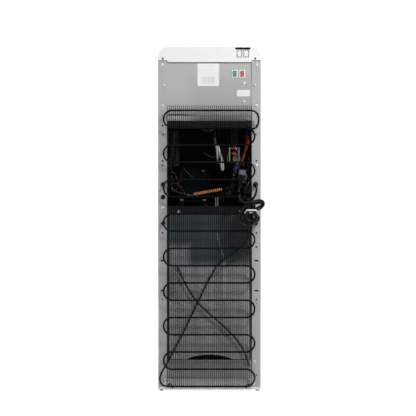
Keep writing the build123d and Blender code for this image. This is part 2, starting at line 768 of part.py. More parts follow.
def capillary():
    """The capillary tube: out of the drier, round a small coil and up to the cold tank."""
    y = drier_start[1]
    coil_z = shelf_top + coil_rise
    half = capillary_loop / 2
    points = [drier_start, (62, y, coil_z - 26.2), (84, y, coil_z - 21), (coil_x - 2, y, coil_z - half)]
    step = capillary_d + 1.4
    for turn in range(capillary_turns):
        for n, (sx, sz) in enumerate(((1, -1), (1, 1), (-1, 1), (-1, -1))):
            depth_here = y - step * (turn + n / 4)
            if turn or n:
                points.append((coil_x + sx * half, depth_here, coil_z + sz * half))
            else:
                points[-1] = (coil_x + half, y, coil_z - half)
    y -= step * capillary_turns
    points += [(coil_x + half, y, coil_z - half), (coil_x + half + 1, y, coil_z + 41)]
    points += [(103, y - 4, tank_shelf_under - 80), (96, slot_y, tank_shelf_under - 30)]
    points.append((96, slot_y + 1, tank_shelf_under + 26))
    return bent_tube(points, capillary_d, turn_radii(points, 0.47, 40), 5)


def suction_line():
    """The line that takes the gas back from the cold tank to the compressor, in its foam sleeve."""
    shell_end = compressor_x + compressor_long / 2
    slot_right = pipe_slots[0][1]
    points = [
        (shell_end - shell_inset + relay_gap, compressor_y, shelf_top + port_rise),
        (shell_end + 17, compressor_y, shelf_top + port_rise),
        (shell_end + 17, compressor_y + 24, shelf_top + port_rise + 54),
        (slot_right - suction_d / 2 - 4, slot_y - 3, tank_shelf_under - 60),
        (slot_right - suction_d / 2 - 4, slot_y - 3, tank_shelf_under + 26),
    ]
    return bent_tube(points, suction_d, turn_radii(points, 0.42, 24))[0]


def shell_side(out):
    """A point out from the compressor's rounded end, over its rear left foot."""
    middle_x = compressor_x - (compressor_long - compressor_short) / 2
    reach = compressor_short / 2 - shell_inset + out
    return (middle_x - 0.6 * reach, compressor_y + 0.8 * reach, shelf_top + 41)


def discharge_line():
    """The hot gas line: from the compressor, up the bay and out round the flange to the top run."""
    loop_x = bend_shift - bend_line - run_pitch / 2 - 12
    points = [
        shell_side(relay_gap),
        shell_side(12),
        (-60, slot_y - 10, shelf_top + 31),
        (-104, slot_y - 16, shelf_top + 41),
        (-124, slot_y - 12, shelf_top + 91),
        (-124.5, slot_y - 6, tank_shelf_under - 30),
        (-124.5, back_y - 8, tank_shelf_under - 10),
        (-124.5, back_y + 9, tank_shelf_under - 10),
        (loop_x, tube_y, tank_shelf_under - 3),
        (loop_x, tube_y, run_z[0]),
        (-run_end, tube_y, run_z[0]),
    ]
    radii = turn_radii(points, 0.42, 24)
    radii[-2:] = [14, 26]
    return bent_tube(points, tube_d, radii)[0]


# ---- Tanks --------------------------------------------------------------------------------
hot_y = cold_y + 7.0


def vessel(x, y, low, diameter, tall, neck):
    """A closed drum with an open neck in its lid."""
    drum = rod((x, y, low), (0, 0, 1), tall, diameter)
    drum -= rod((x, y, low + tank_wall), (0, 0, 1), tall - 2 * tank_wall, diameter - 2 * tank_wall)
    return drum - rod((x, y, low + tall - tank_wall - 1), (0, 0, 1), tank_wall + 2, neck)


def cold_tank():
    """The stainless steel cold tank."""
    return vessel(cold_x, cold_y, tank_shelf_under + sheet + foam / 2, cold_tank_d, cold_tank_height, 20)


def cold_tank_foam():
    """The foam jacket round the cold tank, a cup with an open top."""
    low = tank_shelf_under + sheet
    jacket = rod((cold_x, cold_y, low), (0, 0, 1), cold_tank_height + foam / 2, cold_tank_d + foam)
    bore = cold_tank_d + 0.4
    return jacket - rod((cold_x, cold_y, low + foam / 2), (0, 0, 1), cold_tank_height + foam, bore)


def hot_tank():
    """The stainless steel hot tank, hung under the upper shelf."""
    return vessel(hot_x, hot_y, tank_shelf_under - hot_tank_height, hot_tank_d, hot_tank_height, 12)


def band_heater():
    """The clamp-on heater band round the hot tank, with its terminal block."""
    low = tank_shelf_under - hot_tank_height + 25
    band = rod((hot_x, hot_y, low), (0, 0, 1), 38, hot_tank_d + 7)
    band -= rod((hot_x, hot_y, low - 1), (0, 0, 1), 40, hot_tank_d + 0.4)
    start = hot_y + hot_tank_d / 2 + 2
    return band + block((hot_x - 12, hot_x + 12), (start, start + 10), (low + 8, low + 30))


# ---- Wiring, hoses and the drain ------------------------------------------------------------
def terminal_box():
    """The pale junction box on its tab, with two raised connectors on its face."""
    x = (box_x - box_width / 2, box_x + box_width / 2)
    body = block(x, (box_y, box_y + box_depth), (box_z, box_z + box_height), 3)
    for side in (-1, 1):
        middle_x = box_x + side * 8
        face = (box_y + box_depth, box_y + box_depth + 5)
        body += block((middle_x - 6, middle_x + 6), face, (box_z + 22, box_z + 38))
    return body


def wiring_harness():
    """Three insulated wires from the upper bay, past the terminal box, to the relay."""
    found = []
    for n in range(3):
        shift = n * (harness_d + 0.6)
        points = [
            (-112, slot_y - 2 + shift, tank_shelf_under + 22),
            (-113 + shift / 2, slot_y - 2 + shift, tank_shelf_under - 32),
            (-110 + shift, box_y + 8 + shift, box_z + 32),
            (-106 + shift, box_y + 8 + shift, box_z + 2),
            (-82 + shift, box_y - 6 + shift, box_z - 30),
            (relay_x - 12, compressor_y + 4 + shift, seam_height - 16),
            (relay_x - relay_gap, compressor_y + 4 + shift, seam_height - 16),
        ]
        found.append(bent_tube(points, harness_d, turn_radii(points, 0.42, 30), 4)[0])
    return found


def silicone_hoses():
    """The clear hoses: from the probe to the pump, from there to the cold tank, and to the hot tank."""
    rise = [
        (pump_x + pump_size / 2 + 0.3, pump_y + 6, shelf_top + pump_port),
        (pump_x + pump_size / 2 + 14, pump_y + 6, shelf_top + pump_port),
        (-36, pump_y + 32, shelf_top + 81),
        (-38, slot_y - 22, shelf_top + 109),
        (-34, slot_y - 3, tank_shelf_under - 94),
        (-18, slot_y, tank_shelf_under - 44),
        (-16, slot_y, tank_shelf_under + 20),
    ]
    fall = [
        (-28, slot_y, tank_shelf_under + 20),
        (-28, slot_y, tank_shelf_under - 16),
        (-29, hot_y + hot_tank_d / 2 + 14, tank_shelf_under - 34),
        *[
            (hot_x + 0.6 * reach, hot_y + 0.8 * reach, tank_shelf_under - 38)
            for reach in (hot_tank_d / 2 + 14, hot_tank_d / 2 + 0.3)
        ],
    ]
    risen = bent_tube(rise, hose_d, turn_radii(rise, 0.42, 40))[0]
    return [probe_hose(), risen, bent_tube(fall, hose_d, turn_radii(fall, 0.42, 40))[0]]


def drain_hose():
    """The grey drain hose, from the upper hole across the gap behind the condenser to the lower hole."""
    y = back_y + stand_off / 2
    inside = panel_y - 14.0
    points = [
        (drain_high[0], inside, drain_high[1]),
        (drain_high[0], y, drain_high[1]),
        (80, y, 338),
        (54, y, 290),
        (22, y, 253),
        (-14, y, 223),
        (-54, y, 187),
        (-85, y, 154),
        (-106, y, 119),
        (drain_low[0], y, drain_low[1]),
        (drain_low[0], inside, drain_low[1]),
    ]
    radii = turn_radii(points, 0.45, 90)
    radii[0] = radii[-1] = hose_d
    return bent_tube(points, drain_d, radii)[0]


# ---- Condenser ----------------------------------------------------------------------------
tube_section = RegularPolygon(tube_d / 2, 6)


def condenser_tube():
    """The serpentine: parallel runs joined by half round bends at alternate ends."""
    bend_r = run_pitch / 2
    tube = Part()
    for n, z in enumerate(run_z):
        low = -run_end if n == 0 else bend_shift - bend_line
        high = run_end if n == runs - 1 else bend_shift + bend_line
        run = Plane(origin=(low, tube_y, z), x_dir=(0, 1, 0), z_dir=(1, 0, 0)) * tube_section
        tube += extrude(run, high - low)
        if n < runs - 1:
            side = 1 if n % 2 == 0 else -1
            x = bend_shift + side * bend_line
            start = Plane(origin=(x, tube_y, z), x_dir=(0, 1, 0), z_dir=(side, 0, 0)) * tube_section
            axis = Axis((x, tube_y, z - bend_r), (0, side, 0))
            tube += revolve(start, axis, 180)
    return tube


def condenser_wires(y):
    """One face of upright wires, spot welded to every run of the tube."""
    tall = wire_top - wire_under
    return [
        rod((edge_x + n * wire_pitch, y, wire_under), (0, 0, 1), tall, wire_d, wire_sides)
        for n in range(wire_count)
    ]


def outlet_line():
    """The line from the lowest run, across the outside of the wires and into the bay to the drier."""
    end = drier_end()
    window_x = edge_x - (wire_d + tube_d) / 2 - line_gap
    window_z = run_z[5] - run_pitch / 2 - 1
    points = [
        (run_end, tube_y, lowest_run),
        (141, tube_y, lowest_run),
        (150.4, line_y - 2, 37),
        (146, line_y, 57),
        (122, line_y, 97),
        (78, line_y, 181),
        (37, line_y, 267),
        (4.5, line_y, 334),
        (-22, line_y, 381),
        (-44, line_y, 402),
        (-76, line_y, 423),
        (-101, line_y, 447),
        (-119, line_y, 476),
        (-126, line_y, 506),
        (window_x, line_y, window_z - 25),
        (window_x, line_y, window_z),
        (window_x, back_y + 9, window_z + 2),
        (-110, panel_y - 9, 580),
        (-70, drier_start[1], end[2] - 1),
        (end[0] - 12, end[1], end[2] + 12 * 0.1766),
        end,
    ]
    radii = turn_radii(points, 0.42, 90)
    return bent_tube(points, tube_d, radii)[0]


def condenser_clips():
    """Two diamond clips on the flanges that hold the condenser's edges, and two sleeves below one."""
    found = []
    half = clip_size / 2
    for side in (-1, 1):
        x = side * (half_w - 15)
        post = Pos(x, (back_y + tube_y + 2) / 2, clip_height) * Rot(0, 45, 0)
        found.append(post * Box(clip_size * 0.72, tube_y + 2 - back_y, clip_size * 0.72))
    left = found[1]
    bend_tip = bend_shift + bend_line + run_pitch / 2
    groove = tube_d / 2 + 0.3
    tall = (clip_height - half, clip_height + half)
    left -= block((bend_tip - 20, bend_tip + groove), (tube_y - groove, tube_y + 20), tall)
    right = found[0]
    arm = (clip_height - 2.5, clip_height + 2.5)
    right += block((-(half_w - 15), edge_x - wire_d / 2 - 0.3), (inner_wire_y - 2, inner_wire_y + 2), arm)
    return [left, right]


def edge_buttons():
    """Two round push-in cable clips on the left flange."""
    found = []
    for z in (625.0, 586.5):
        start = (half_w - 15, back_y, z)
        found.append(rod(start, (0, 1, 0), 4, clip_size, 12))
    return found


def condenser_hooks():
    """Two steel hooks on the base wall that the lowest run rests in, each between two wires."""
    found = []
    inner = tube_d / 2 + 0.15
    outer = inner + 1.6
    for between in (2, wire_count - 4):
        x = edge_x + (wire_count - 1.5 - between) * wire_pitch
        sides = (x - hook_width / 2, x + hook_width / 2)
        eye = rod((sides[0], tube_y, lowest_run), (1, 0, 0), hook_width, 2 * outer, 8)
        stalk = (panel_y + base_step + sheet, tube_y)
        eye += block(sides, stalk, (lowest_run + inner, lowest_run + outer))
        eye -= rod((sides[0] - 1, tube_y, lowest_run), (1, 0, 0), hook_width + 2, 2 * inner)
        found.append(eye)
    return found


# ---- Rocker switches ----------------------------------------------------------------------
rocker_swing = math.radians(rocker_tilt)
cavity_half = rocker_half * math.cos(rocker_swing) + 5 * math.sin(rocker_swing) + rocker_play
pivot_y = panel_y + bezel_thickness - 3.0


def switch_block(x, wide, low_y, high_y, tall=None):
    """A block centred on a switch, between two distances from the panel's face."""
    half_z = (tall if tall else 2 * cavity_half + 3.2) / 2
    span = (panel_y + low_y, panel_y + high_y)
    return block((x - wide / 2, x + wide / 2), span, (switch_z - half_z, switch_z + half_z))


def switch_bodies():
    """The two switch housings, clipped in the panel, each with a bezel outside it."""
    found = []
    for x in switch_places:
        bezel = switch_block(x, bezel_width, 0, bezel_thickness, bezel_height)
        bezel = chamfer(bezel.faces().sort_by(Axis.Y)[-1].edges(), 0.6)
        body = switch_block(x, rocker_cavity + 2.8, -switch_depth, 0.1, 2 * cavity_half + 2.8)
        housing = bezel + body - switch_block(x, rocker_cavity, -6, 5, 2 * cavity_half)
        found.append(housing - rocker_pins(x, pin_play))
    return found


def rocker_pins(x, play):
    """The two pins that a rocker turns on, as one bar, or the hole for them when grown by the play."""
    length = rocker_cavity + 2 * (rocker_pin_reach + play)
    return rod((x - length / 2, pivot_y, switch_z), (1, 0, 0), length, rocker_pin_d + 2 * play)


def rocker(x):
    """One rocker, shallow V on its face and round below, stored with its upper end out."""
    outline = [(5.0, rocker_half), (3.6, 0), (5.0, -rocker_half), (-1.0, -rocker_half + 0.4), (-3.4, 0)]
    outline += [(-1.0, rocker_half - 0.4)]
    tilted = [
        (
            pivot_y + y * math.cos(rocker_swing) + z * math.sin(rocker_swing),
            switch_z - y * math.sin(rocker_swing) + z * math.cos(rocker_swing),
        )
        for y, z in outline
    ]
    face = Plane.YZ.offset(x - rocker_width / 2) * make_face(Polyline(*tilted, close=True))
    return extrude(face, rocker_width) + rocker_pins(x, 0)


# ---- Power cord ---------------------------------------------------------------------------
tie_gap = 0.5  # between the tie and the strands in it
cord_back_y = depth / 2 + line_gap + tie_thickness + tie_gap + cord_d / 2  # the hank's first layer


def hank_point(across, up, y):
    """A point of the hank from its distance to the tie, across to the right seen from behind."""
    return (hank_x - across, y, hank_z + up)


def hank_route():
    """The hank's turns: each hangs down in a loop, passes the tie and goes out along the lobe."""
    points = []
    for turn, (radius, shift) in enumerate(hank_loops):
        y = cord_back_y + turn * hank_pitch
        odd = turn % 2
        centre = (15.6 - 0.9 * radius + shift, -13.5 - 0.18 * radius)
        for angle in (128, 182, 236, 290, 344):
            across = centre[0] + 1.12 * radius * math.cos(math.radians(angle))
            up = centre[1] + 1.12 * radius * math.sin(math.radians(angle))
            points.append(hank_point(across, up, y))
        reach = lobe_length * (1 + 0.05 * math.cos(1.7 * turn)) - 3 * odd
        lift = 9.0 - 5 * odd + math.sin(1.3 * turn)
        tall = lobe_heights[odd]
        points.append(hank_point(8, 3 - 2 * odd, y))
        points.append(hank_point(0.6 * reach, lift + 1, y))
        points.append(hank_point(reach, lift + 4, y))
        points.append(hank_point(reach - 1, lift + 4 + tall, y))
        points.append(hank_point(0.55 * reach, lift + 3 + tall, y))
        points.append(hank_point(-6, lift + tall, y + hank_pitch))
    return points


def cord_route():
    """The whole cord: out of the grommet, down to the hank, round it and up to the plug."""
    top_y = cord_back_y + len(hank_loops) * hank_pitch
    start_y = back_y + grommet_reach
    tip = (math.sin(math.radians(plug_tilt)), math.cos(math.radians(plug_tilt)))
    leaving = [
        (grommet_x, start_y, grommet_z),
        (grommet_x, start_y + 14, grommet_z),
        (grommet_x - 1.5, start_y + 23, grommet_z - 9),
        (grommet_x - 0.5, start_y + 23, grommet_z - 26),
        (grommet_x + 8, cord_back_y + 2, grommet_z - 43),
        (hank_x + 6, cord_back_y, hank_z + 27),
    ]
    arriving = [
        hank_point(-22, 24, top_y - 2),
        hank_point(-32, 35, top_y - 9),
        hank_point(-36.5, 48, top_y - 20),
        (plug_x + 17 * tip[0], plug_y, plug_z - 17 * tip[1]),
        (plug_x, plug_y, plug_z),
    ]
    return leaving, hank_route(), arriving


plug_y = outer_wire_y + wire_d / 2 + 0.5 + plug_thickness / 2


def cord_pieces():
    """The free stretches and the hank, cut from one route in the middle of two runs."""
    leaving, hank, arriving = cord_route()
    route = leaving + hank + arriving
    radii = turn_radii(route)
    first, second = len(leaving), len(leaving) + len(hank)
    for corner in (first - 1, first, second - 1, second):
        radii[corner - 1] *= 0.6
    enter = middle(route[first - 1], route[first])
    leave = middle(route[second - 1], route[second])
    out_tube, out_path = bent_tube(route[:first] + [enter], cord_d, radii[: first - 1], cord_sides)
    coil = [enter] + route[first:second] + [leave]
    hank_tube, hank_path = bent_tube(coil, cord_d, radii[first - 1 : second - 1], cord_sides)
    in_tube, in_path = bent_tube([leave] + route[second:], cord_d, radii[second - 1 :], cord_sides)
    area = RegularPolygon(cord_d / 2, cord_sides).area
    for name, tube, path in (
        ("grommet to hank", out_tube, out_path),
        ("hank", hank_tube, hank_path),
        ("hank to plug", in_tube, in_path),
    ):
        share = tube.volume / (area * path.length)
        print(f"cord {name}: {path.length:.0f} mm, volume {share:.3f} of section x length")
    print("cord radii:", " ".join(f"{r:.0f}" for r in radii))
    print(f"cord length {out_path.length + hank_path.length + in_path.length:.0f} mm")
    print(f"hank's least gap to itself {least_gap(hank_path, cord_d):.2f} mm")
    return [out_tube, in_tube], hank_tube, hank_path


def least_gap(path, diameter):
    """The smallest gap between two turns of a tube, on points 2 mm apart along it."""
    count = int(path.length / 2)
    points = [path @ (n / count) for n in range(count + 1)]
    apart = int(2 * diameter)
    return min(
        (points[i] - points[j]).length for i in range(len(points)) for j in range(i + apart, len(points))
    ) - diameter


def cord_grommet():
    """The strain relief in the right flange: a sleeve outside, a neck in the hole and a nut inside."""
    outside = (grommet_x, back_y, grommet_z)
    sleeve = stub((0, 0, 0), grommet_d + 3, cord_d + 3, grommet_reach, 12)
    head = Plane(origin=outside, z_dir=(0, 1, 0)).location * sleeve
    head += rod((grommet_x, back_y - sheet - 0.1, grommet_z), (0, 1, 0), sheet + 0.2, grommet_d - 3)
    return head + rod((grommet_x, back_y - sheet - 6, grommet_z), (0, 1, 0), 5.9, grommet_d, 6)


def plug_frame():
    """The plug's own axes: Z from the cord to the pins."""
    tilt = math.radians(plug_tilt)
    towards = (-math.sin(tilt), 0, math.cos(tilt))
    return Plane(origin=(plug_x, plug_y, plug_z), x_dir=(0, 1, 0), z_dir=towards)


def bevelled(thickness, wide, bevel, z):
    """A rectangle with bevelled corners, at a height along the plug."""
    face = Pos(0, 0, z) * Rectangle(thickness, wide)
    return chamfer(face.vertices(), bevel)


def plug():
    """The moulded plug: a neck that swells to a flat sided head with two pins."""
    shoulder = plug_length * 0.62
    outlines = [
        bevelled(cord_d + 2, cord_d + 2, 2.5, 0),
        bevelled(cord_d + 5, cord_d + 7, 3, plug_length * 0.3),
        bevelled(plug_thickness, plug_width, 4, shoulder),
        bevelled(plug_thickness, plug_width, 4, plug_length),
    ]
    body = loft(outlines, ruled=True)
    for side in (-1, 1):
        body += Pos(0, side * 5.5, plug_length) * extrude(RegularPolygon(2, 8), cap_height - 3)
    return plug_frame().location * body


def plug_cap():
    """The protector pushed over the pins, with a bore for each."""
    cap = extrude(bevelled(plug_thickness - 4, plug_width - 4, 3, 0), cap_height)
    for side in (-1, 1):
        cap -= Pos(0, side * 5.5, 0) * extrude(RegularPolygon(2.3, 8), cap_height - 2.5)
    return plug_frame().location * (Pos(0, 0, plug_length) * cap)


def cable_tie(hank_path):
    """The band round the strands of the hank where they meet."""
    count = int(hank_path.length / 1.5)
    tall = (hank_z - tie_drop - tie_height / 2, hank_z - tie_drop + tie_height / 2)
    caught = []
    for n in range(count + 1):
        p = hank_path @ (n / count)
        across = hank_x - p.X
        if tall[0] - 1.5 <= p.Z <= tall[1] + 1.5 and -14 < across < 24:
            caught.append((across, p.Y))
    around = cord_d / 2 + tie_gap
    left = min(a for a, _ in caught) - around
    right = max(a for a, _ in caught) + around
    near = min(y for _, y in caught) - around
    far = max(y for _, y in caught) + around
    t = tie_thickness
    band = block((hank_x - right - t, hank_x - left + t), (near - t, far + t), tall, 5)
    return band - block((hank_x - right, hank_x - left), (near, far), (tall[0] - 1, tall[1] + 1), 5 - t)


# ---- Screws -------------------------------------------------------------------------------
def back_screws():
    """The pan heads of the screws in the flanges and in the panels between them."""
    found = []
    for side in (-1, 1):
        for inset, z in flange_screws:
            start = (side * (half_w - inset), back_y, z)
            found.append(rod(start, (0, 1, 0), screw_thickness, flange_screw_d, 8))
    for x, z in panel_screws:
        found.append(rod((x, panel_y, z), (0, 1, 0), screw_thickness, panel_screw_d, 8))
    return found


# ---- The parts ----------------------------------------------------------------------------
free_cord, hank_solid, hank_line = cord_pieces()
capillary_solid, capillary_line = capillary()
print(f"capillary's least gap to itself {least_gap(capillary_line, capillary_d):.2f} mm")

parts = {
    "side_panel_left": side_panel(1, shared_hole_heights + left_hole_heights, False),
    "side_panel_right": side_panel(-1, shared_hole_heights + right_hole_heights, True),
    "base_pan": base_pan(),
    "feet": feet(),
    "mid_shelf": mid_shelf(),
    "lower_rear_panel": lower_rear_panel(),
    "tank_shelf": tank_shelf(),
    "upper_rear_panel": upper_rear_panel(),
    "top_cover": top_cover(),
    "front_fascia": front_fascia(),
    "control_panel": control_panel(),
    "button_hot": tap_button(button_x[0]),
    "button_room": tap_button(button_x[1]),
    "button_cold": tap_button(button_x[2]),
    "button_board": button_board(),
    "alcove": alcove(),
    "spouts": spouts(),
    "drip_tray": drip_tray(),
    "drip_grille": drip_grille(),
    "front_door": front_door(),
    "door_liner": door_liner(),
    "door_magnet": door_magnet(),
    "hinge_brackets": hinge_brackets(),
    "bottle_probe": bottle_probe(),
    "probe_clip": probe_clip(),
    "water_pump": water_pump(),
    "compressor_lower_shell": compressor_lower(),
    "compressor_upper_shell": compressor_upper(),
    "compressor_foot_plate": compressor_feet(),
    "compressor_grommets": compressor_grommets(),
    "compressor_bolts": compressor_bolts(),
    "relay_cover": relay_cover(),
    "filter_drier": filter_drier(),
    "capillary_tube": capillary_solid,
    "suction_line": suction_line(),
    "discharge_line": discharge_line(),
    "outlet_line": outlet_line(),
    "cold_tank": cold_tank(),
    "cold_tank_foam": cold_tank_foam(),
    "hot_tank": hot_tank(),
    "band_heater": band_heater(),
    "terminal_box": terminal_box(),
    "wiring_harness": wiring_harness(),
    "silicone_hoses": silicone_hoses(),
    "drain_hose": drain_hose(),
    "condenser_tube": condenser_tube(),
    "condenser_wires": condenser_wires(outer_wire_y) + condenser_wires(inner_wire_y),
    "condenser_clips": condenser_clips() + edge_buttons(),
    "condenser_hooks": condenser_hooks(),
    "switch_bodies": switch_bodies(),
    "rocker_green": rocker(switch_places[0]),
    "rocker_red": rocker(switch_places[1]),
    "cord_grommet": cord_grommet(),
    "power_cord": free_cord,
    "cord_hank": hank_solid,
    "plug": plug(),
    "plug_cap": plug_cap(),
    "cable_tie": cable_tie(hank_line),
    "back_screws": back_screws(),
}

os.makedirs("parts", exist_ok=True)
for node, shape in parts.items():
    solids = shape if isinstance(shape, list) else [shape]
    solids = [solid for piece in solids for solid in piece.solids()]
    export_step(Compound(children=solids), f"parts/{node}.step")
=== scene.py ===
import bpy, bmesh, json
from math import copysign, cos, pi, radians, sin
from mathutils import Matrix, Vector


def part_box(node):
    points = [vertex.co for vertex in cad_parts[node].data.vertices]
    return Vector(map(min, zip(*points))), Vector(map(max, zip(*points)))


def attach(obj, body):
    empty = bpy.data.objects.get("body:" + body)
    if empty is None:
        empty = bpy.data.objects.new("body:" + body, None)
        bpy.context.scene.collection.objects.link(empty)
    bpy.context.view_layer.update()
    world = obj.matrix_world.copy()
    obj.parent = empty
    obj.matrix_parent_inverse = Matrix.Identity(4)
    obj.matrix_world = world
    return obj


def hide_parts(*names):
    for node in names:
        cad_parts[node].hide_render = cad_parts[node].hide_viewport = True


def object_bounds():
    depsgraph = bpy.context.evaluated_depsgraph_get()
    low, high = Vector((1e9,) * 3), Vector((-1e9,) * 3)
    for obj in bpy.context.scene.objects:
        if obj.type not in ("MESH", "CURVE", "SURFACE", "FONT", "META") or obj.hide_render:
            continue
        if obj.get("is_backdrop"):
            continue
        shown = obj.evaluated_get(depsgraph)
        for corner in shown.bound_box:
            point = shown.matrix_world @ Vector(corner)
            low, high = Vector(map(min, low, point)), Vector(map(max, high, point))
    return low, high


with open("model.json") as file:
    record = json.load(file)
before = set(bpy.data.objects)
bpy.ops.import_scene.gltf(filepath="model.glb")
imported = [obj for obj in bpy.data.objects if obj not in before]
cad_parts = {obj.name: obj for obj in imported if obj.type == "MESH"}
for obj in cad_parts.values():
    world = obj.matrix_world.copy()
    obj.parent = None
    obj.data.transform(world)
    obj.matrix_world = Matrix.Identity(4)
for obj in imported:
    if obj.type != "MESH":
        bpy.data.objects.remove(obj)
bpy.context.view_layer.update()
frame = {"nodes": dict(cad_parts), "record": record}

nodes = frame["nodes"]

# ---- Camera ----
# Straight from behind, level with the cabinet's middle. The picture's width is measured at the cabinet's rear face.
rear_y, picture_width, picture_pixels = 0.1498, 1.256, 416
camera_x, camera_z, camera_distance, sensor_width = 0.0045, 0.5535, 4.0, 36.0


def add_object(name, data):
    """A new object in the scene."""
    added = bpy.data.objects.new(name, data)
    bpy.context.scene.collection.objects.link(added)
    return added


camera_data = bpy.data.cameras.new("camera")
camera_data.sensor_width = sensor_width
camera_data.lens = sensor_width * camera_distance / picture_width
camera_data.clip_start, camera_data.clip_end = 0.05, 60.0
camera = add_object("camera", camera_data)
camera.location = (camera_x, rear_y + camera_distance, camera_z)
camera.rotation_euler = (radians(90), 0.0, radians(180))
bpy.context.scene.camera = camera


def seen_at(px, py, y):
    """The point at a depth that the photograph shows at a pixel."""
    scale = picture_width / picture_pixels * (rear_y + camera_distance - y) / camera_distance
    middle = picture_pixels / 2
    return Vector((camera_x - (px - middle) * scale, y, camera_z - (py - middle) * scale))


def seen_line(*points):
    """The points of a line that the photograph shows, each as a pixel and a depth."""
    return [tuple(seen_at(*point)) for point in points]


# ---- Finishes ----
# Each finish is a node group that turns a plain colour into a varied one, with its own roughness and bump.
def fill_inputs(tree, node, inputs):
    """Sets each input of a node to a value, or joins it to another node's output."""
    for socket, value in inputs.items():
        if isinstance(value, bpy.types.NodeSocket):
            tree.links.new(value, node.inputs[socket])
        else:
            node.inputs[socket].default_value = value
    return node


def add_node(tree, kind, inputs, **settings):
    """A new shader node with its settings and inputs."""
    node = tree.nodes.new("ShaderNode" + kind)
    for name, value in settings.items():
        setattr(node, name, value)
    return fill_inputs(tree, node, inputs)


def combine(tree, operation, *values):
    """The outcome of a sum over values or sockets."""
    return add_node(tree, "Math", dict(enumerate(values)), operation=operation).outputs[0]


def blend(tree, mask, under, over, **settings):
    """One colour laid over another by a mask."""
    return add_node(tree, "Mix", {0: mask, 6: under, 7: over}, data_type="RGBA", **settings).outputs[2]


def start_group(name, takes, gives):
    """A node group with its sockets, the outputs that it starts from and the node that it ends in."""
    group = bpy.data.node_groups.new(name, "ShaderNodeTree")
    for in_out, sockets in (("INPUT", takes), ("OUTPUT", gives)):
        for label, kind in sockets.items():
            group.interface.new_socket(label, in_out=in_out, socket_type="NodeSocket" + kind)
    return group, group.nodes.new("NodeGroupInput").outputs, group.nodes.new("NodeGroupOutput")


finishes, worn_colour, edge_radius = {}, (0.78, 0.78, 0.77, 1.0), 0.0012


def add_finish(name, bump_scale, bump_height, mottle_scale, mottle, rough_low, rough_high,
               stretch=(1, 1, 1), wear=0.0, cells=False):
    """A finish: fine grain in the bump, clouds in tone and roughness, and worn edges where there is wear."""
    group, entry, leave = start_group(
        name, {"Colour": "Color"}, {"Colour": "Color", "Roughness": "Float", "Normal": "Vector"})
    where = add_node(group, "TexCoord", {})
    scaled = add_node(group, "Mapping", {"Vector": where.outputs["Object"], "Scale": stretch}).outputs[0]
    grain = add_node(group, "TexVoronoi" if cells else "TexNoise", {"Scale": bump_scale, "Vector": scaled})
    cloud = add_node(group, "TexNoise", {
        "Scale": mottle_scale, "Detail": 6.0, "Roughness": 0.6, "Vector": scaled}).outputs["Fac"]
    clouded = {"Value": cloud, "From Min": 0.3, "From Max": 0.7}
    shade = add_node(group, "MapRange", {**clouded, "To Min": 1.0 - mottle, "To Max": 1.0 + mottle})
    colour = blend(group, 1.0, entry["Colour"], shade.outputs[0], blend_type="MULTIPLY", clamp_result=False)
    if wear:
        soft = add_node(group, "Bevel", {"Radius": edge_radius}, samples=4).outputs[0]
        plain = add_node(group, "NewGeometry", {}).outputs["Normal"]
        turned = add_node(group, "VectorMath", {0: soft, 1: plain}, operation="DOT_PRODUCT").outputs["Value"]
        edge = add_node(group, "MapRange", {"Value": turned, "From Min": 0.98, "From Max": 0.8, "To Max": wear})
        colour = blend(group, edge.outputs[0], colour, worn_colour)
    rough = add_node(group, "MapRange", {**clouded, "To Min": rough_low, "To Max": rough_high})
    bump = add_node(group, "Bump", {"Strength": 0.5, "Distance": bump_height, "Height": grain.outputs[0]})
    fill_inputs(group, leave, {"Colour": colour, "Roughness": rough.outputs[0], "Normal": bump.outputs[0]})
    finishes[name] = group


add_finish("moulded_plastic", 1400, 0.00005, 2.5, 0.006, 0.22, 0.26, wear=0.1)
add_finish("textured_plastic", 900, 0.0002, 7, 0.06, 0.45, 0.6, wear=0.05)
add_finish("powder_coat", 700, 0.00012, 4, 0.035, 0.38, 0.5, wear=0.35)
add_finish("coated_sheet", 120, 0.00025, 6, 0.08, 0.3, 0.45, stretch=(1, 1, 0.5), wear=0.15)
add_finish("streaked_sheet", 60, 0.0003, 34, 0.22, 0.34, 0.48, stretch=(1, 1, 0.05))
add_finish("black_enamel", 260, 0.0001, 14, 0.25, 0.1, 0.2)
add_finish("gloss_enamel", 160, 0.0001, 9, 0.2, 0.07, 0.15)
add_finish("drawn_copper", 500, 0.0001, 60, 0.22, 0.2, 0.38)
add_finish("brushed_steel", 900, 0.00008, 12, 0.08, 0.22, 0.38, stretch=(1, 1, 0.04))
add_finish("zinc_plate", 240, 0.00006, 90, 0.12, 0.28, 0.48, cells=True)
add_finish("soft_rubber", 1100, 0.00012, 30, 0.16, 0.42, 0.62)
add_finish("soft_pvc", 700, 0.00003, 30, 0.12, 0.08, 0.14)
add_finish("blown_foam", 420, 0.0011, 20, 0.07, 0.85, 0.95, cells=True)
add_finish("clear_silicone", 300, 0.00005, 40, 0.05, 0.14, 0.24)
add_finish("printed_film", 1800, 0.00003, 9, 0.02, 0.32, 0.42)
add_finish("coated_laminate", 500, 0.0001, 45, 0.14, 0.3, 0.45)


looks = {}


def paint(name, finish, colour, metallic=0.0, coat=0.0, specular=0.5, transmission=0.0):
    """A material in one of the finishes, kept among the looks under its name."""
    material = bpy.data.materials.new(name)
    material.use_nodes = True
    tree = material.node_tree
    finished = add_node(tree, "Group", {"Colour": (*colour, 1.0)}, node_tree=finishes[finish]).outputs
    fill_inputs(tree, tree.nodes["Principled BSDF"], {
        "Base Color": finished["Colour"], "Roughness": finished["Roughness"], "Normal": finished["Normal"],
        "Metallic": metallic, "Coat Weight": coat, "Coat Roughness": 0.08, "Specular IOR Level": specular,
        "Transmission Weight": transmission})
    looks[name] = material
    return material


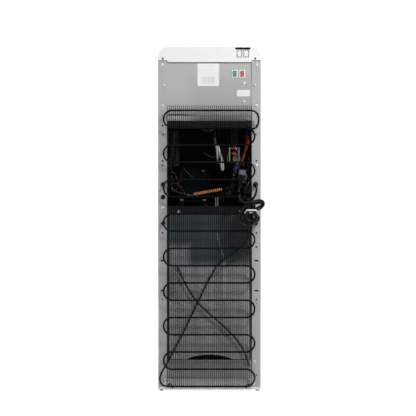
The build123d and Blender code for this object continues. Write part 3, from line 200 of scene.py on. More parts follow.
# ---- Finishes of the CAD pieces ----
# One for each material slot that the record's pieces have, and a few for pieces that the photograph shows darker.
paint("white_gloss", "moulded_plastic", (0.84, 0.84, 0.84), coat=0.2)
paint("white_steel", "powder_coat", (0.42, 0.42, 0.425))
paint("grey_steel", "coated_sheet", (0.12, 0.12, 0.125))
paint("dark_steel", "coated_sheet", (0.018, 0.019, 0.02), specular=0.12)
paint("black_gloss", "gloss_enamel", (0.006, 0.006, 0.007), coat=0.05, specular=0.15)
paint("black_plastic", "textured_plastic", (0.006, 0.006, 0.007), specular=0.08)
paint("grey_plastic", "textured_plastic", (0.42, 0.42, 0.43))
paint("pale_plastic", "textured_plastic", (0.7, 0.69, 0.65))
paint("red_plastic", "moulded_plastic", (0.5, 0.03, 0.07), coat=0.2)
paint("green_plastic", "moulded_plastic", (0.012, 0.2, 0.12), coat=0.2)
paint("blue_plastic", "moulded_plastic", (0.02, 0.12, 0.5), coat=0.2)
paint("board", "coated_laminate", (0.02, 0.14, 0.06))
paint("black_enamel", "black_enamel", (0.002, 0.002, 0.003), specular=0.1)
paint("wire_enamel", "black_enamel", (0.001, 0.001, 0.0015), specular=0.02)
paint("copper", "drawn_copper", (0.72, 0.27, 0.07), metallic=0.5)
paint("stainless", "brushed_steel", (0.56, 0.57, 0.58), metallic=1.0)
paint("zinc", "zinc_plate", (0.6, 0.6, 0.58), metallic=1.0)
paint("bolt_zinc", "zinc_plate", (0.3, 0.3, 0.29), metallic=0.3)
paint("rubber_black", "soft_rubber", (0.004, 0.004, 0.005), specular=0.05)
paint("foam", "blown_foam", (0.72, 0.68, 0.54))
paint("felt", "blown_foam", (0.008, 0.008, 0.009), specular=0.1)
paint("silicone", "clear_silicone", (0.78, 0.84, 0.87), transmission=0.55)
paint("wire_mix", "soft_rubber", (0.45, 0.02, 0.02))
own_look = {"mid_shelf": "dark_steel", "hot_tank": "felt", "band_heater": "dark_steel",
            "condenser_wires": "wire_enamel", "compressor_bolts": "bolt_zinc"}


def dress(name, material):
    """Gives a CAD piece its material."""
    nodes[name].data.materials.clear()
    nodes[name].data.materials.append(material)


for part in frame["record"]["subparts"]:
    dress(part["node"], looks[own_look.get(part["node"], part["material_slot"])])

# ---- Rear sheets ----
# Sheets that differ in tone over their height, much of it painted light and shade: the lower panel has a painted
# dark reflection that ends half way down, the base is painted lighter where its stepped band and skirt catch light,
# and the upper panel has a painted shadow line over its joggled edge, which is painted bright as a reflection.
patch_sockets = ("Left", "Right", "Low", "High", "Softness", "Wander")
patch, entry, leave = start_group("patch_of_sheet", dict.fromkeys(patch_sockets, "Float"), {"Mask": "Float"})
where = add_node(patch, "TexCoord", {}).outputs["Object"]
place = add_node(patch, "SeparateXYZ", {0: where}).outputs
depth = None
for first, second in (
    (place["X"], entry["Left"]), (entry["Right"], place["X"]),
    (place["Z"], entry["Low"]), (entry["High"], place["Z"]),
):
    inside = combine(patch, "SUBTRACT", first, second)
    depth = combine(patch, "MINIMUM", depth, inside) if depth else inside
ripple = add_node(patch, "TexNoise", {"Scale": 11.0, "Vector": where})
shifted = combine(patch, "MULTIPLY_ADD", ripple.outputs["Fac"], entry["Wander"], depth)
mask = add_node(patch, "MapRange", {"Value": shifted, "From Max": entry["Softness"]}, interpolation_type="SMOOTHSTEP")
fill_inputs(patch, leave, {"Mask": mask.outputs[0]})


def paint_sheet(name, node, finish, colour, specular, *patches):
    """A sheet's paint with patches of other tone laid over it, many of them painted light and shade.
    A patch has its left, right, low, high, softness, wander and colour.
    """
    material = paint(name, finish, colour, specular=specular)
    tree = material.node_tree
    finished, tone = tree.nodes["Group"], (*colour, 1.0)
    for *limits, own in patches:
        mask = add_node(tree, "Group", dict(zip(patch_sockets, limits)), node_tree=patch)
        tone = blend(tree, mask.outputs["Mask"], tone, (*own, 1.0))
    fill_inputs(tree, finished, {"Colour": tone})
    dress(node, material)


beyond = 0.2  # Past both edges of every sheet.
groove_x, groove_shade = 0.1218, (0.012, 0.012, 0.012)
# Painted highlight: a pale streak of reflection that runs down the lower panel in six steps.
highlight_streak = []
for step in range(6):
    x, drop = -0.0245 - 0.0042 * step, 0.0155 * step
    highlight_streak.append((x - 0.0034, x + 0.0034, 0.456 - drop, 0.48 - drop, 0.0034, 0.0, (0.17, 0.185, 0.19)))
paint_sheet(
    "lower_sheet", "lower_rear_panel", "streaked_sheet", (0.38, 0.375, 0.38), 0.3,
    # Painted reflection: a dark teal sheen over the upper half, darker to the picture's right, with lighter patches
    # on its left.
    (-beyond, beyond, 0.366, 0.6, 0.034, 0.004, (0.052, 0.072, 0.077)),
    (-beyond, -0.012, 0.385, 0.6, 0.04, 0.0, (0.034, 0.038, 0.042)),
    (0.052, 0.134, 0.354, 0.45, 0.036, 0.01, (0.31, 0.335, 0.34)),
    (0.094, 0.14, 0.268, 0.392, 0.026, 0.006, (0.2, 0.225, 0.235)),
    # Painted highlight: the brightest, lower length of the pale streak.
    (-0.05, -0.04, 0.276, 0.392, 0.005, 0.0, (0.62, 0.62, 0.62)),
    *highlight_streak,
    # Painted shade along the bottom edge and in the grooves at both sides.
    (-beyond, beyond, 0.0, 0.0978, 0.0006, 0.0, groove_shade),
    (groove_x, beyond, 0.0, 0.6, 0.0006, 0.0, groove_shade),
    (-beyond, -groove_x, 0.0, 0.6, 0.0006, 0.0, groove_shade))
paint_sheet(
    "base_sheet", "base_pan", "streaked_sheet", (0.34, 0.335, 0.335), 0.35,
    # Painted light: the stepped band and the skirt painted lighter where they catch light from above.
    (-beyond, beyond, -0.1, 0.04, 0.001, 0.0, (0.6, 0.59, 0.59)),
    (-beyond, beyond, -0.1, 0.0132, 0.0005, 0.0, (0.86, 0.86, 0.86)))
paint_sheet(
    "upper_sheet", "upper_rear_panel", "powder_coat", (0.43, 0.43, 0.435), 0.5,
    # Painted reflection: the joggled edge painted bright.
    (-beyond, beyond, 0.7, 0.833, 0.0004, 0.0, (0.86, 0.86, 0.87)),
    # Painted shadow: a dark line under the seam of the joggle.
    (-beyond, beyond, 0.8328, 0.8372, 0.0008, 0.0, (0.02, 0.02, 0.02)),
    # Painted shadow in the gap at the panel's right edge.
    (-0.1285, -0.1245, 0.838, 0.992, 0.0016, 0.0, (0.14, 0.14, 0.14)),
    # Darker away from the panel's left edge.
    (-beyond, 0.09, 0.7, 0.985, 0.07, 0.0, (0.37, 0.37, 0.375)))
# Painted shade: the shelf's tab painted near black below the crossbar, where it lies in the bay, and a black line for
# the shadow in the crossbar's gap.
paint_sheet(
    "bay_shelf", "tank_shelf", "coated_sheet", (0.018, 0.019, 0.02), 0.1,
    (-beyond, beyond, 0.5, 0.7996, 0.0004, 0.0, (0.002, 0.002, 0.002)),
    (0.0037, 0.0057, 0.5, 0.9, 0.0006, 0.0, (0.001, 0.001, 0.001)))

# ---- Power cord ----
# 1.21 m of 6.8 mm lead: out of the flange, down to a hank of five turns, and back up to the plug.
paint("cord_pvc", "soft_pvc", (0.002, 0.002, 0.003), specular=0.16)
cord_d = 0.0068
grommet_x, grommet_z, grommet_reach = -0.1392, 0.6242, 0.022
hank_loops = ((0.025, 0.0), (0.013, 0.0), (0.02, 0.0095), (0.015, 0.0), (0.026, 0.0))
hank_pitch = 0.0079
hank_x, hank_z = -0.1217, 0.5457
lobe_length, lobe_heights = 0.0385, (0.0175, 0.016)
cord_back_y = 0.1856
plug_x, plug_y, plug_z, plug_tilt = -0.0903, 0.1836, 0.617, radians(10)


def settle_tube(name, shape, diameter, look, body="cabinet", smooth=4):
    """A finished curve becomes a round tube with closed ends, with its finish, riding on a body."""
    shape.bevel_depth = diameter / 2
    shape.bevel_resolution = smooth
    shape.use_fill_caps = True
    shape.materials.append(looks[look])
    piece = add_object(name, shape)
    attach(piece, body)
    return piece


def lay_wire(name, points, diameter, look, closed=False, body="cabinet", smooth=4):
    """A fixed wire, hose or tube on a smooth line between its points."""
    shape = bpy.data.curves.new(name, "CURVE")
    shape.dimensions = "3D"
    run = shape.splines.new("NURBS")
    run.points.add(len(points) - 1)
    for point, place in zip(run.points, points):
        point.co = (*place, 1.0)
    run.order_u = 3
    run.use_endpoint_u = not closed
    run.use_cyclic_u = closed
    shape.resolution_u = 8
    return settle_tube(name, shape, diameter, look, body, smooth)


def hank_point(across, up, y):
    """A point of the hank, from its waist: outwards to the right of the picture, and up."""
    return (hank_x - across, y, hank_z + up)


exit_y = rear_y + grommet_reach
route = [
    (grommet_x, exit_y, grommet_z), (grommet_x, exit_y + 0.014, grommet_z),
    (grommet_x - 0.0015, exit_y + 0.023, grommet_z - 0.009), (grommet_x - 0.0005, exit_y + 0.023, grommet_z - 0.026),
    (grommet_x + 0.008, cord_back_y - 0.001, grommet_z - 0.043),
    (hank_x + 0.006, cord_back_y - 0.0018, hank_z + 0.027),
]
for turn, (radius, shift) in enumerate(hank_loops):
    y = cord_back_y + turn * hank_pitch
    odd = turn % 2
    centre = (0.0156 - 0.9 * radius + shift, -0.0135 - 0.18 * radius)
    for angle in (128, 182, 236, 290, 344):
        across = centre[0] + 1.12 * radius * cos(radians(angle))
        up = centre[1] + 1.12 * radius * sin(radians(angle))
        route.append(hank_point(across, up, y))
    reach = lobe_length * (1 + 0.05 * cos(1.7 * turn)) - 0.003 * odd
    lift = 0.009 - 0.005 * odd + 0.001 * sin(1.3 * turn)
    tall = lobe_heights[odd]
    lobe = (
        (0.0075 + 0.3 * across, 0.3 * up - 0.002 - 0.003 * odd), (0.0124, -0.001 - 0.0035 * odd),
        (0.016, 0.0065 - 0.0049 * odd), (0.68 * reach, lift + 0.001), (reach - 0.004, lift + 0.003),
        (reach + 0.0005, lift + 0.004 + tall / 2), (reach - 0.005, lift + 0.005 + tall),
        (0.55 * reach, lift + 0.003 + tall))
    route += [hank_point(*place, y) for place in lobe] + [hank_point(-0.006, lift + tall, y + hank_pitch)]
top_y = cord_back_y + len(hank_loops) * hank_pitch
tip = (sin(plug_tilt), cos(plug_tilt))
route += [
    hank_point(-0.022, 0.024, top_y - 0.002),
    hank_point(-0.032, 0.035, top_y - 0.009),
    hank_point(-0.0365, 0.048, top_y - 0.02),
    (plug_x + 0.017 * tip[0], plug_y, plug_z - 0.017 * tip[1]), (plug_x, plug_y, plug_z),
]
cord = lay_wire("mains_lead", route, cord_d, "cord_pvc", smooth=5)
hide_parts("power_cord", "cord_hank")


# ---- Plug and its cap ----
# A moulded plug with a ribbed neck and flat cheeks, and over its pins a soft grey cap on a pale strap.
def skin(form, rings, closed=False):
    """Faces between rings of points, and over both ends unless the rings close on themselves."""
    steps = len(rings[0])
    for lower, upper in zip(rings, rings[1:] + (rings[:1] if closed else [])):
        for n in range(steps):
            form.faces.new((lower[n], lower[(n + 1) % steps], upper[(n + 1) % steps], upper[n]))
    if not closed:
        form.faces.new(rings[0][::-1])
        form.faces.new(rings[-1])


def round_angles(steps, start=0):
    """Even angles round a circle."""
    return [2 * pi * (n + start) / steps for n in range(steps)]


def squared(value, power):
    """A sine or cosine drawn towards its end, which makes a round outline squarer."""
    return copysign(abs(value) ** (2 / power), value)


def add_loft(form, origin, towards, aside, sections, steps=32):
    """A form through rounded outlines: distance along, half width, half thickness and squareness of each."""
    towards, aside = Vector(towards).normalized(), Vector(aside).normalized()
    across = towards.cross(aside)
    rings = []
    for along, half_wide, half_thick, power in sections:
        middle, ring = Vector(origin) + towards * along, []
        for a in round_angles(steps):
            u, v = squared(cos(a), power) * half_wide, squared(sin(a), power) * half_thick
            ring.append(form.verts.new(middle + aside * u + across * v))
        rings.append(ring)
    skin(form, rings)


def settle(name, form, look, body="cabinet", crease=35):
    """A finished mesh becomes a piece: smooth but for its creases, with its finish, riding on a body."""
    mesh = bpy.data.meshes.new(name)
    form.to_mesh(mesh)
    form.free()
    mesh.materials.append(looks[look])
    mesh.shade_smooth()
    mesh.set_sharp_from_angle(angle=radians(crease))
    piece = add_object(name, mesh)
    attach(piece, body)
    return piece


plug_at = Vector((plug_x, plug_y, plug_z))
towards, aside = Vector((-tip[0], 0.0, tip[1])), Vector((tip[1], 0.0, tip[0]))
form = bmesh.new()
neck = [(-0.0005, 0.004, 0.004, 2.0), (0.0, 0.0046, 0.0046, 2.0)]
for n in range(4):
    half, at = 0.0046 + 0.0006 * n, 0.0026 * n
    neck += [(0.0012 + at, half, half, 2.0), (0.0026 + at, half, half, 2.0),
             (0.0029 + at, half - 0.0007, half - 0.0007, 2.1)]
add_loft(form, plug_at, towards, aside, neck + [
    (0.0125, 0.0068, 0.0058, 2.3), (0.0165, 0.0088, 0.007, 2.6), (0.02, 0.0108, 0.0084, 3.2),
    (0.023, 0.0118, 0.0089, 4.0), (0.026, 0.012, 0.009, 4.5), (0.03, 0.0113, 0.0087, 4.5),
    (0.0335, 0.0119, 0.009, 4.5), (0.0353, 0.0117, 0.0088, 4.5), (0.036, 0.011, 0.0082, 4.5)])
for side in (-1, 1):
    add_loft(form, plug_at + towards * 0.0355 + aside * side * 0.0055, towards, aside, [
        (0.0, 0.002, 0.002, 2.0), (0.011, 0.002, 0.002, 2.0), (0.0125, 0.0014, 0.0014, 2.0)], 12)
plug = settle("moulded_plug", form, "rubber_black")
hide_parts("plug")
paint("cap_grey", "soft_rubber", (0.11, 0.11, 0.12), specular=0.2)
paint("strap_lilac", "clear_silicone", (0.32, 0.29, 0.4))
form = bmesh.new()
cap_foot = plug_at + towards * 0.0361
add_loft(form, cap_foot, towards, aside, [
    (0.0, 0.0104, 0.0074, 4.0), (0.0006, 0.0108, 0.0077, 4.0), (0.0026, 0.0108, 0.0077, 4.0),
    (0.0032, 0.01, 0.007, 4.0), (0.012, 0.0098, 0.0068, 4.0), (0.0142, 0.0092, 0.0063, 3.6),
    (0.015, 0.008, 0.0052, 3.2)])
cap = settle("pin_cap", form, "cap_grey")
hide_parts("plug_cap")
strap = lay_wire("cap_strap", [cap_foot + aside * across + towards * along for across, along in (
    (-0.01, 0.004), (-0.0145, 0.003), (-0.0155, -0.006), (-0.0118, -0.011), (-0.008, -0.022))],
    0.0017, "strap_lilac")

# ---- Strain relief ----
# A ribbed rubber sleeve that tapers along the lead from its flange.
to_rear, to_front, to_left, upwards, downwards = (0, 1, 0), (0, -1, 0), (1, 0, 0), (0, 0, 1), (0, 0, -1)


def turn_on(form, place, axis, profile, steps=20):
    """A turned shape added to a mesh: radius and height pairs round an axis that starts at a point."""
    towards = Vector(axis).to_track_quat("Z", "Y").to_matrix()
    skin(form, [[
        form.verts.new(Vector(place) + towards @ Vector((radius * cos(a), radius * sin(a), height)))
        for a in round_angles(steps)] for radius, height in profile])


form = bmesh.new()
sleeve = [(0.0079, 0.0), (0.0081, 0.0006), (0.008, 0.0022), (0.0066, 0.003)]
for n in range(7):
    radius, at = 0.0062 - 0.00028 * n, 0.0028 * n
    sleeve += [(radius, 0.0036 + at), (radius, 0.0052 + at), (radius - 0.0009, 0.0055 + at)]
sleeve += [(0.0037, 0.0238), (0.0035, 0.024)]
turn_on(form, (grommet_x, rear_y, grommet_z), to_rear, sleeve, 24)
turn_on(form, (grommet_x, rear_y - 0.0012, grommet_z), to_front, [
    (0.0049, -0.0013), (0.0065, 0.0001), (0.0065, 0.0058)], 24)
relief = settle("strain_relief", form, "rubber_black")
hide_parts("cord_grommet")


# ---- Tie ----
# A white nylon tie round the waist of the hank, higher where it crosses over the strands, with its square head.
def rounded_outline(half_wide, half_tall, corner, steps):
    """Points along a rectangle with rounded corners, each with the angle that it faces."""
    outline = []
    for sx, sz, start in ((1, 1, 0), (-1, 1, 90), (-1, -1, 180), (1, -1, 270)):
        for n in range(steps + 1 if corner else 1):
            a = radians(start + 90 * n / steps)
            outline.append((
                sx * (half_wide - corner) + corner * cos(a),
                sz * (half_tall - corner) + corner * sin(a), a))
    return outline


low_corner, high_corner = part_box("cable_tie")
tie_x, tie_y, tie_z = ((a + b) / 2 for a, b in zip(low_corner, high_corner))
half_x, half_y = (high_corner[0] - low_corner[0]) / 2, (high_corner[1] - low_corner[1]) / 2
corner, sink, half_band, half_tall = 0.0055, 0.004, 0.0007, 0.0022
paint("tie_white", "moulded_plastic", (0.78, 0.78, 0.78))
form = bmesh.new()
rings = []
for x, y, a in rounded_outline(half_x, half_y, corner, 8):
    over_strands = max(0.0, (y - half_y + corner) / corner)
    rise = -sink + (0.006 + 0.003 * (x / half_x) ** 2) * over_strands
    ring = []
    for b in round_angles(12):
        out = -half_band + half_band * squared(cos(b), 4)
        up = half_tall * squared(sin(b), 4)
        ring.append(form.verts.new((
            tie_x + x + out * cos(a), tie_y + y + out * sin(a), tie_z + rise + up)))
    rings.append(ring[::-1])
skin(form, rings, closed=True)
tie = settle("nylon_tie", form, "tie_white", crease=60)
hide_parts("cable_tie")
form = bmesh.new()
add_loft(form, (tie_x + half_x - 0.0005, tie_y, tie_z - sink), to_left, to_rear, [
    (0.0, 0.0028, 0.0028, 5.0), (0.003, 0.0028, 0.0028, 5.0), (0.0036, 0.0022, 0.0022, 5.0)], 20)
settle("tie_head", form, "tie_white")

# ---- Condenser tube ----
# Seventeen runs joined by half round bends, as one round tube.
tube_y, lowest_run, run_pitch, runs = 0.16965, 0.0172, 0.05185, 17
bend_line, bend_shift, run_end = 0.1109, 0.0012, 0.118
tube_d = 0.0056
serpentine = bpy.data.curves.new("serpentine", "CURVE")
serpentine.dimensions = "3D"
turns = serpentine.splines.new("BEZIER")
arm = 0.5523 * run_pitch / 2  # The handle that makes a quarter of a circle.
top_run = lowest_run + run_pitch * (runs - 1)
stops = [(-run_end, top_run, 0.03, 0.0)]
for n in range(runs - 1):
    side = 1 if n % 2 == 0 else -1
    z = top_run - run_pitch * n
    stops += [
        (bend_shift + side * bend_line, z, side * arm, 0.0),
        (bend_shift + side * (bend_line + run_pitch / 2), z - run_pitch / 2, 0.0, -arm),
        (bend_shift + side * bend_line, z - run_pitch, -side * arm, 0.0),
    ]
stops.append((run_end, lowest_run, 0.03, 0.0))
turns.bezier_points.add(len(stops) - 1)
for point, (x, z, dx, dz) in zip(turns.bezier_points, stops):
    point.co = (x, tube_y, z)
    point.handle_left = (x - dx, tube_y, z - dz)
    point.handle_right = (x + dx, tube_y, z + dz)
serpentine.resolution_u = 14
condenser = settle_tube("serpentine", serpentine, tube_d, "black_enamel", smooth=5)
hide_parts("condenser_tube")

# ---- Lines of the refrigerant ----
# Bent steel tube: the hot gas line from the compressor round to the top run, and the line from the lowest run up
# across the wires and into the bay, where it meets the drier.
slot_y, line_y, drier_y = 0.1284, 0.1772, 0.1386
compressor_x, compressor_y = 0.05, 0.068
drier_start, drier_slope = Vector((0.048, drier_y, 0.5953)), Vector((-0.985, 0.0, 0.174))
drier_end = drier_start + drier_slope * 0.084
loop_x = bend_shift - bend_line - run_pitch / 2 - 0.012
hot_gas = lay_wire("hot_gas_line", [
    (0.0002, 0.1144, 0.6), (-0.007, 0.124, 0.6), (-0.06, 0.1184, 0.59), (-0.104, 0.1124, 0.6), (-0.124, 0.1164, 0.65),
    (-0.1245, 0.1224, 0.77), (-0.1245, 0.1418, 0.79), (-0.1245, 0.1588, 0.79), (loop_x, tube_y, 0.797),
    (loop_x, tube_y, top_run), (-run_end, tube_y, top_run)], tube_d, "black_enamel")
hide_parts("discharge_line")
window_x, window_z = -0.12948, 0.560625
liquid = lay_wire("liquid_line", [
    (run_end, tube_y, lowest_run), (0.141, tube_y, lowest_run), (0.1504, line_y - 0.002, 0.037),
    (0.146, line_y, 0.057), (0.122, line_y, 0.097), (0.078, line_y, 0.181), (0.037, line_y, 0.267),
    (0.0045, line_y, 0.334), (-0.023, line_y, 0.385), (-0.047, line_y, 0.402), (-0.079, line_y, 0.42),
    (-0.105, line_y, 0.444), (-0.1225, line_y, 0.474), (-0.128, line_y, 0.506), (window_x, line_y, window_z - 0.025),
    (window_x, line_y, window_z), (window_x, rear_y + 0.009, window_z + 0.002), (-0.11, 0.1396, 0.58),
    (-0.07, drier_y, drier_end.z - 0.001), (drier_end.x - 0.012, drier_y, drier_end.z + 0.0021), drier_end,
], tube_d, "black_enamel")
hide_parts("outlet_line")
suction = lay_wire("suction_sleeve", [
    (0.12305, 0.068, 0.608), (0.142, 0.068, 0.608), (0.142, 0.092, 0.662), (0.114, 0.1254, 0.74),
    (0.114, 0.1254, 0.826),
], 0.012, "felt")
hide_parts("suction_line")

# ---- Filter drier and capillary ----
# A spun copper shell with rolled grooves over its screen, and the thin capillary that leaves it, winds a
# small coil and goes up to the cold tank in a black sleeve. A second thin tube doubles back beside the coil.
form = bmesh.new()
profile = [(0.002, -0.001), (0.0036, 0.0002), (0.0048, 0.0026), (0.0053, 0.006), (0.0053, 0.04)]
for n in range(6):
    at = 0.044 + 0.0055 * n
    profile += [(0.0053, at), (0.0045, at + 0.0012), (0.0045, at + 0.002), (0.0053, at + 0.0032)]
profile += [(0.0053, 0.0775), (0.0042, 0.0815), (0.003, 0.084), (0.003, 0.087)]
turn_on(form, drier_start, drier_slope, profile, 28)
drier = settle("drier_shell", form, "copper", crease=50)
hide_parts("filter_drier")
coil = [tuple(drier_start), (0.062, drier_y, 0.5928), (0.084, drier_y, 0.598), (0.116, drier_y, 0.609)]
for quarter in range(1, 8):
    sx, sz = ((1, -1), (1, 1), (-1, 1), (-1, -1))[quarter % 4]
    coil.append((0.106 + sx * 0.01, drier_y - 0.00095 * quarter, 0.619 + sz * 0.01))
coil += [(0.116, 0.131, 0.609), (0.117, 0.131, 0.634)]
paint("dull_copper", "drawn_copper", (0.11, 0.062, 0.048), metallic=0.2)
lay_wire("capillary_sleeve", [
    (0.1169, 0.131, 0.632), (0.117, 0.131, 0.66), (0.103, 0.127, 0.72), (0.096, slot_y, 0.77),
    (0.096, slot_y + 0.001, 0.826)], 0.0036, "felt")
capillary = lay_wire("capillary", coil, 0.0024, "dull_copper")
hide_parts("capillary_tube")
lay_wire("process_tube", seen_line(
    (192.8, 195.4, drier_y), (189.5, 195.9, 0.139), (186.0, 194.3, 0.14), (182.0, 189.5, 0.141),
    (178.8, 184.5, 0.142), (177.2, 179.5, 0.143), (175.8, 176.0, 0.143), (173.8, 172.4, 0.142), (171.9, 171.4, 0.14),
    (171.2, 174.0, 0.137), (172.6, 178.0, 0.135), (173.2, 182.0, 0.136)),
    0.0024, "dull_copper")

# ---- Clips of the condenser ----
# Moulded diamond blocks on the flanges that hold the condenser's edges, and push-in clips above the left one.
form = bmesh.new()
clip_x, clip_z, wide, square = 0.14, 0.507, 0.0068, 1.15
diamond = [(0.0, 0.0064, 0.0064, square), (0.0006, wide, wide, square)]
left_end, right_end = tube_y - 0.0031 - rear_y, tube_y + 0.002 - rear_y
for place, sections, steps in (
    ((clip_x, rear_y, clip_z), diamond + [(left_end, wide, wide, square)], 32),
    ((clip_x + 0.0005, tube_y + 0.003, clip_z),
     [(0.0, 0.0066, 0.0066, square), (0.001, 0.0066, 0.0066, square), (0.0014, 0.0058, 0.0058, 1.2)], 32),
    ((clip_x + 0.0038, rear_y, clip_z),
     [(0.01, 0.0024, 0.002, 3.0), (tube_y + 0.0034 - rear_y, 0.0024, 0.002, 3.0)], 16),
    ((-clip_x, rear_y, clip_z),
     diamond + [(right_end - 0.0006, wide, wide, square), (right_end, 0.006, 0.006, 1.2)], 32),
):
    add_loft(form, place, to_rear, to_left, sections, steps)
add_loft(form, (-clip_x, 0.166, clip_z), to_left, to_rear, [
    (0.0, 0.002, 0.0025, 4.0), (0.0128, 0.002, 0.0025, 4.0)], 16)
for z in (0.625, 0.5865):
    turn_on(form, (clip_x, rear_y, z), to_rear, [
        (0.0066, 0.0), (0.0069, 0.0008), (0.0069, 0.0026), (0.006, 0.0038), (0.0034, 0.0044), (0.003, 0.004)], 28)
clips = settle("edge_clips", form, "black_plastic")
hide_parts("condenser_clips")

# ---- Hooks of the condenser ----
# Steel wire from the base wall, under the lowest run, up in front of it and curled into a ring.
for name, x, curl, ring_shift, turned in (
    ("hook_left", 0.1116, 0.004, 0.0085, 1), ("hook_right", -0.1102, 0.0032, -0.0051, -1),
):
    ring_x, ring_y, ring_z = x + ring_shift, tube_y + 0.0052, lowest_run + 0.0055
    points = [(x, y, lowest_run + up) for y, up in (
        (0.151, -0.0045), (0.16, -0.0045), (tube_y + 0.001, -0.0048), (tube_y + 0.0056, -0.002), (ring_y, 0.004))]
    for n in range(7):
        a = radians(180 - 52 * n)
        points.append((ring_x + turned * curl * cos(a), ring_y + 0.0004 * n, ring_z + curl * sin(a)))
    hook = lay_wire(name, points, 0.0032, "black_enamel")
    if x > 0:
        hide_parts("condenser_hooks")

# ---- Drain hose ----
# A thin grey-black hose out of the lower panel, down behind the wires and in again above the base.
paint("hose_black", "soft_rubber", (0.018, 0.018, 0.019), specular=0.3)
drain_y, inside_y = rear_y + 0.0077, 0.1346
drain = lay_wire("drain", [
    (0.098, inside_y, 0.378), (0.098, drain_y, 0.378), (0.08, drain_y, 0.338), (0.054, drain_y, 0.29),
    (0.022, drain_y, 0.253), (-0.014, drain_y, 0.223), (-0.054, drain_y, 0.187), (-0.085, drain_y, 0.154),
    (-0.106, drain_y, 0.119), (-0.121, drain_y, 0.077),
    (-0.121, inside_y, 0.077)], 0.005, "hose_black")
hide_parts("drain_hose")

# ---- Compressor ----
# The welded shell, smooth and glossy: a drawn cup below and a dome above, with the bead of the weld between.
paint("compressor_enamel", "gloss_enamel", (0.001, 0.003, 0.004), specular=0.05)
half_long, half_short = 0.075, 0.06
low, seam, top, foot_round, dome_round = 0.5755, 0.622, 0.686, 0.016, 0.03
levels = [(0.03, low - 0.0005), (0.018, low)]
levels += [(0.002 + foot_round * (1 - sin(a)), low + foot_round * (1 - cos(a)))
           for a in (0, 0.3, 0.6, 0.9, 1.2, 1.57)]
levels += [(0.002, seam), (0.0002, seam + 0.001), (0.0, seam + 0.0035), (0.0002, seam + 0.006), (0.002, seam + 0.007)]
levels += [(0.002 + dome_round * (1 - cos(a)), top - dome_round + dome_round * sin(a))
           for a in (0, 0.26, 0.52, 0.78, 1.05, 1.31)]
levels += [(0.034, top - 0.0003), (0.05, top + 0.0002)]
form = bmesh.new()
rings = []
for inset, z in levels:
    flat, radius = half_long - half_short, half_short - inset
    rings.append([form.verts.new((
        compressor_x + (flat if cos(a) > 0 else -flat) + radius * cos(a),
        compressor_y + radius * sin(a), z)) for a in round_angles(48, 0.5)])
skin(form, rings)
shell = settle("compressor_shell", form, "compressor_enamel", crease=50)
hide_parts("compressor_lower_shell", "compressor_upper_shell")


# ---- Screws ----
# Pan heads with a cross recess: in the flanges, the panels, the lip of the shelf and the tabs of the cover.
def add_slab(form, centre, size, corner=0.0):
    """An upright slab with rounded corners added to a mesh, with its thickness towards the rear."""
    wide, thick, tall = size
    outline = rounded_outline(wide / 2, tall / 2, corner, 4)
    near, far = ([form.verts.new((centre[0] + x, centre[1] + out, centre[2] + z)) for x, z, a in outline]
                 for out in (0.0, thick))
    skin(form, [far, near])


def add_screw(heads, crosses, place, profile, cross, out):
    """A screw's head, and in it the two bars of its cross."""
    turn_on(heads, place, to_rear, profile)
    for wide, tall in (cross, cross[::-1]):
        add_slab(crosses, (place[0], place[1] + out, place[2]), (wide, 0.0004, tall))


paint("recess_shade", "textured_plastic", (0.01, 0.01, 0.01), specular=0.05)
half_width, panel_y, cover_y = 0.155, 0.1486, rear_y + 0.0025
flange_screws = ((0.0128, 0.986), (0.018, 0.925), (0.0128, 0.863), (0.0137, 0.555), (0.0218, 0.024))
screws = [(side * (half_width - inset), rear_y, z) for side in (-1, 1) for inset, z in flange_screws]
screws += [(x, panel_y, z) for x, z in ((-0.1042, 0.9293), (-0.1042, 0.8743), (0.0924, 0.543), (-0.0924, 0.543))]
screws += seen_line((256.7, 165.3, rear_y), (165.6, 379.3, rear_y), (254.5, 361.5, rear_y))
form, crosses = bmesh.new(), bmesh.new()
for place in screws:
    add_screw(form, crosses, place, [
        (0.0041, 0.0), (0.0041, 0.0006), (0.0036, 0.0015), (0.0024, 0.0022), (0.0008, 0.0024)],
        (0.0034, 0.0008), 0.0021)
heads = settle("screw_heads", form, "zinc")
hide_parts("back_screws")
# Painted shade in the cross recesses of the heads.
settle("screw_crosses", crosses, "recess_shade")
form, crosses = bmesh.new(), bmesh.new()
for place in seen_line((162.7, 58.6, cover_y), (255.4, 58.6, cover_y)):
    add_screw(form, crosses, place, [
        (0.0031, 0.0), (0.0031, 0.0005), (0.0024, 0.0012), (0.0008, 0.0014)], (0.0026, 0.0006), 0.0011)
settle("cover_screws", form, "black_enamel")
settle("cover_screw_crosses", crosses, "zinc")

# ---- Punched holes and dimples of the flanges ----
# Painted shade: dark discs and slots, each in a rolled rim, stand for the shade inside the holes and slots
# that the flanges have, and small ones that they don't.
form, rims = bmesh.new(), bmesh.new()
for px, py, radius in (
    (162.4, 71.3, 0.0011), (162.3, 122.6, 0.0016), (163.3, 134.6, 0.0026), (162.3, 171.0, 0.0011),
    (163.2, 246.3, 0.0012), (162.2, 268.5, 0.0011), (162.2, 299.1, 0.0024), (162.2, 303.2, 0.0011),
    (162.1, 337.3, 0.0012), (162.5, 116.0, 0.0016), (256.6, 71.4, 0.0011), (256.6, 116.6, 0.0016),
    (255.8, 134.5, 0.0026), (256.5, 171.0, 0.0011), (256.5, 269.0, 0.0011), (256.4, 299.5, 0.0024),
    (256.5, 303.4, 0.0011), (256.5, 338.0, 0.0012), (256.5, 374.9, 0.0022),
):
    place = seen_at(px, py, rear_y)
    turn_on(form, place, to_rear, [(radius, -0.0002), (radius, 0.00012)], 16)
    turn_on(rims, place, to_rear, [(radius + 0.0008, -0.0002), (radius + 0.0006, 0.00006), (radius, 0.0001)], 16)
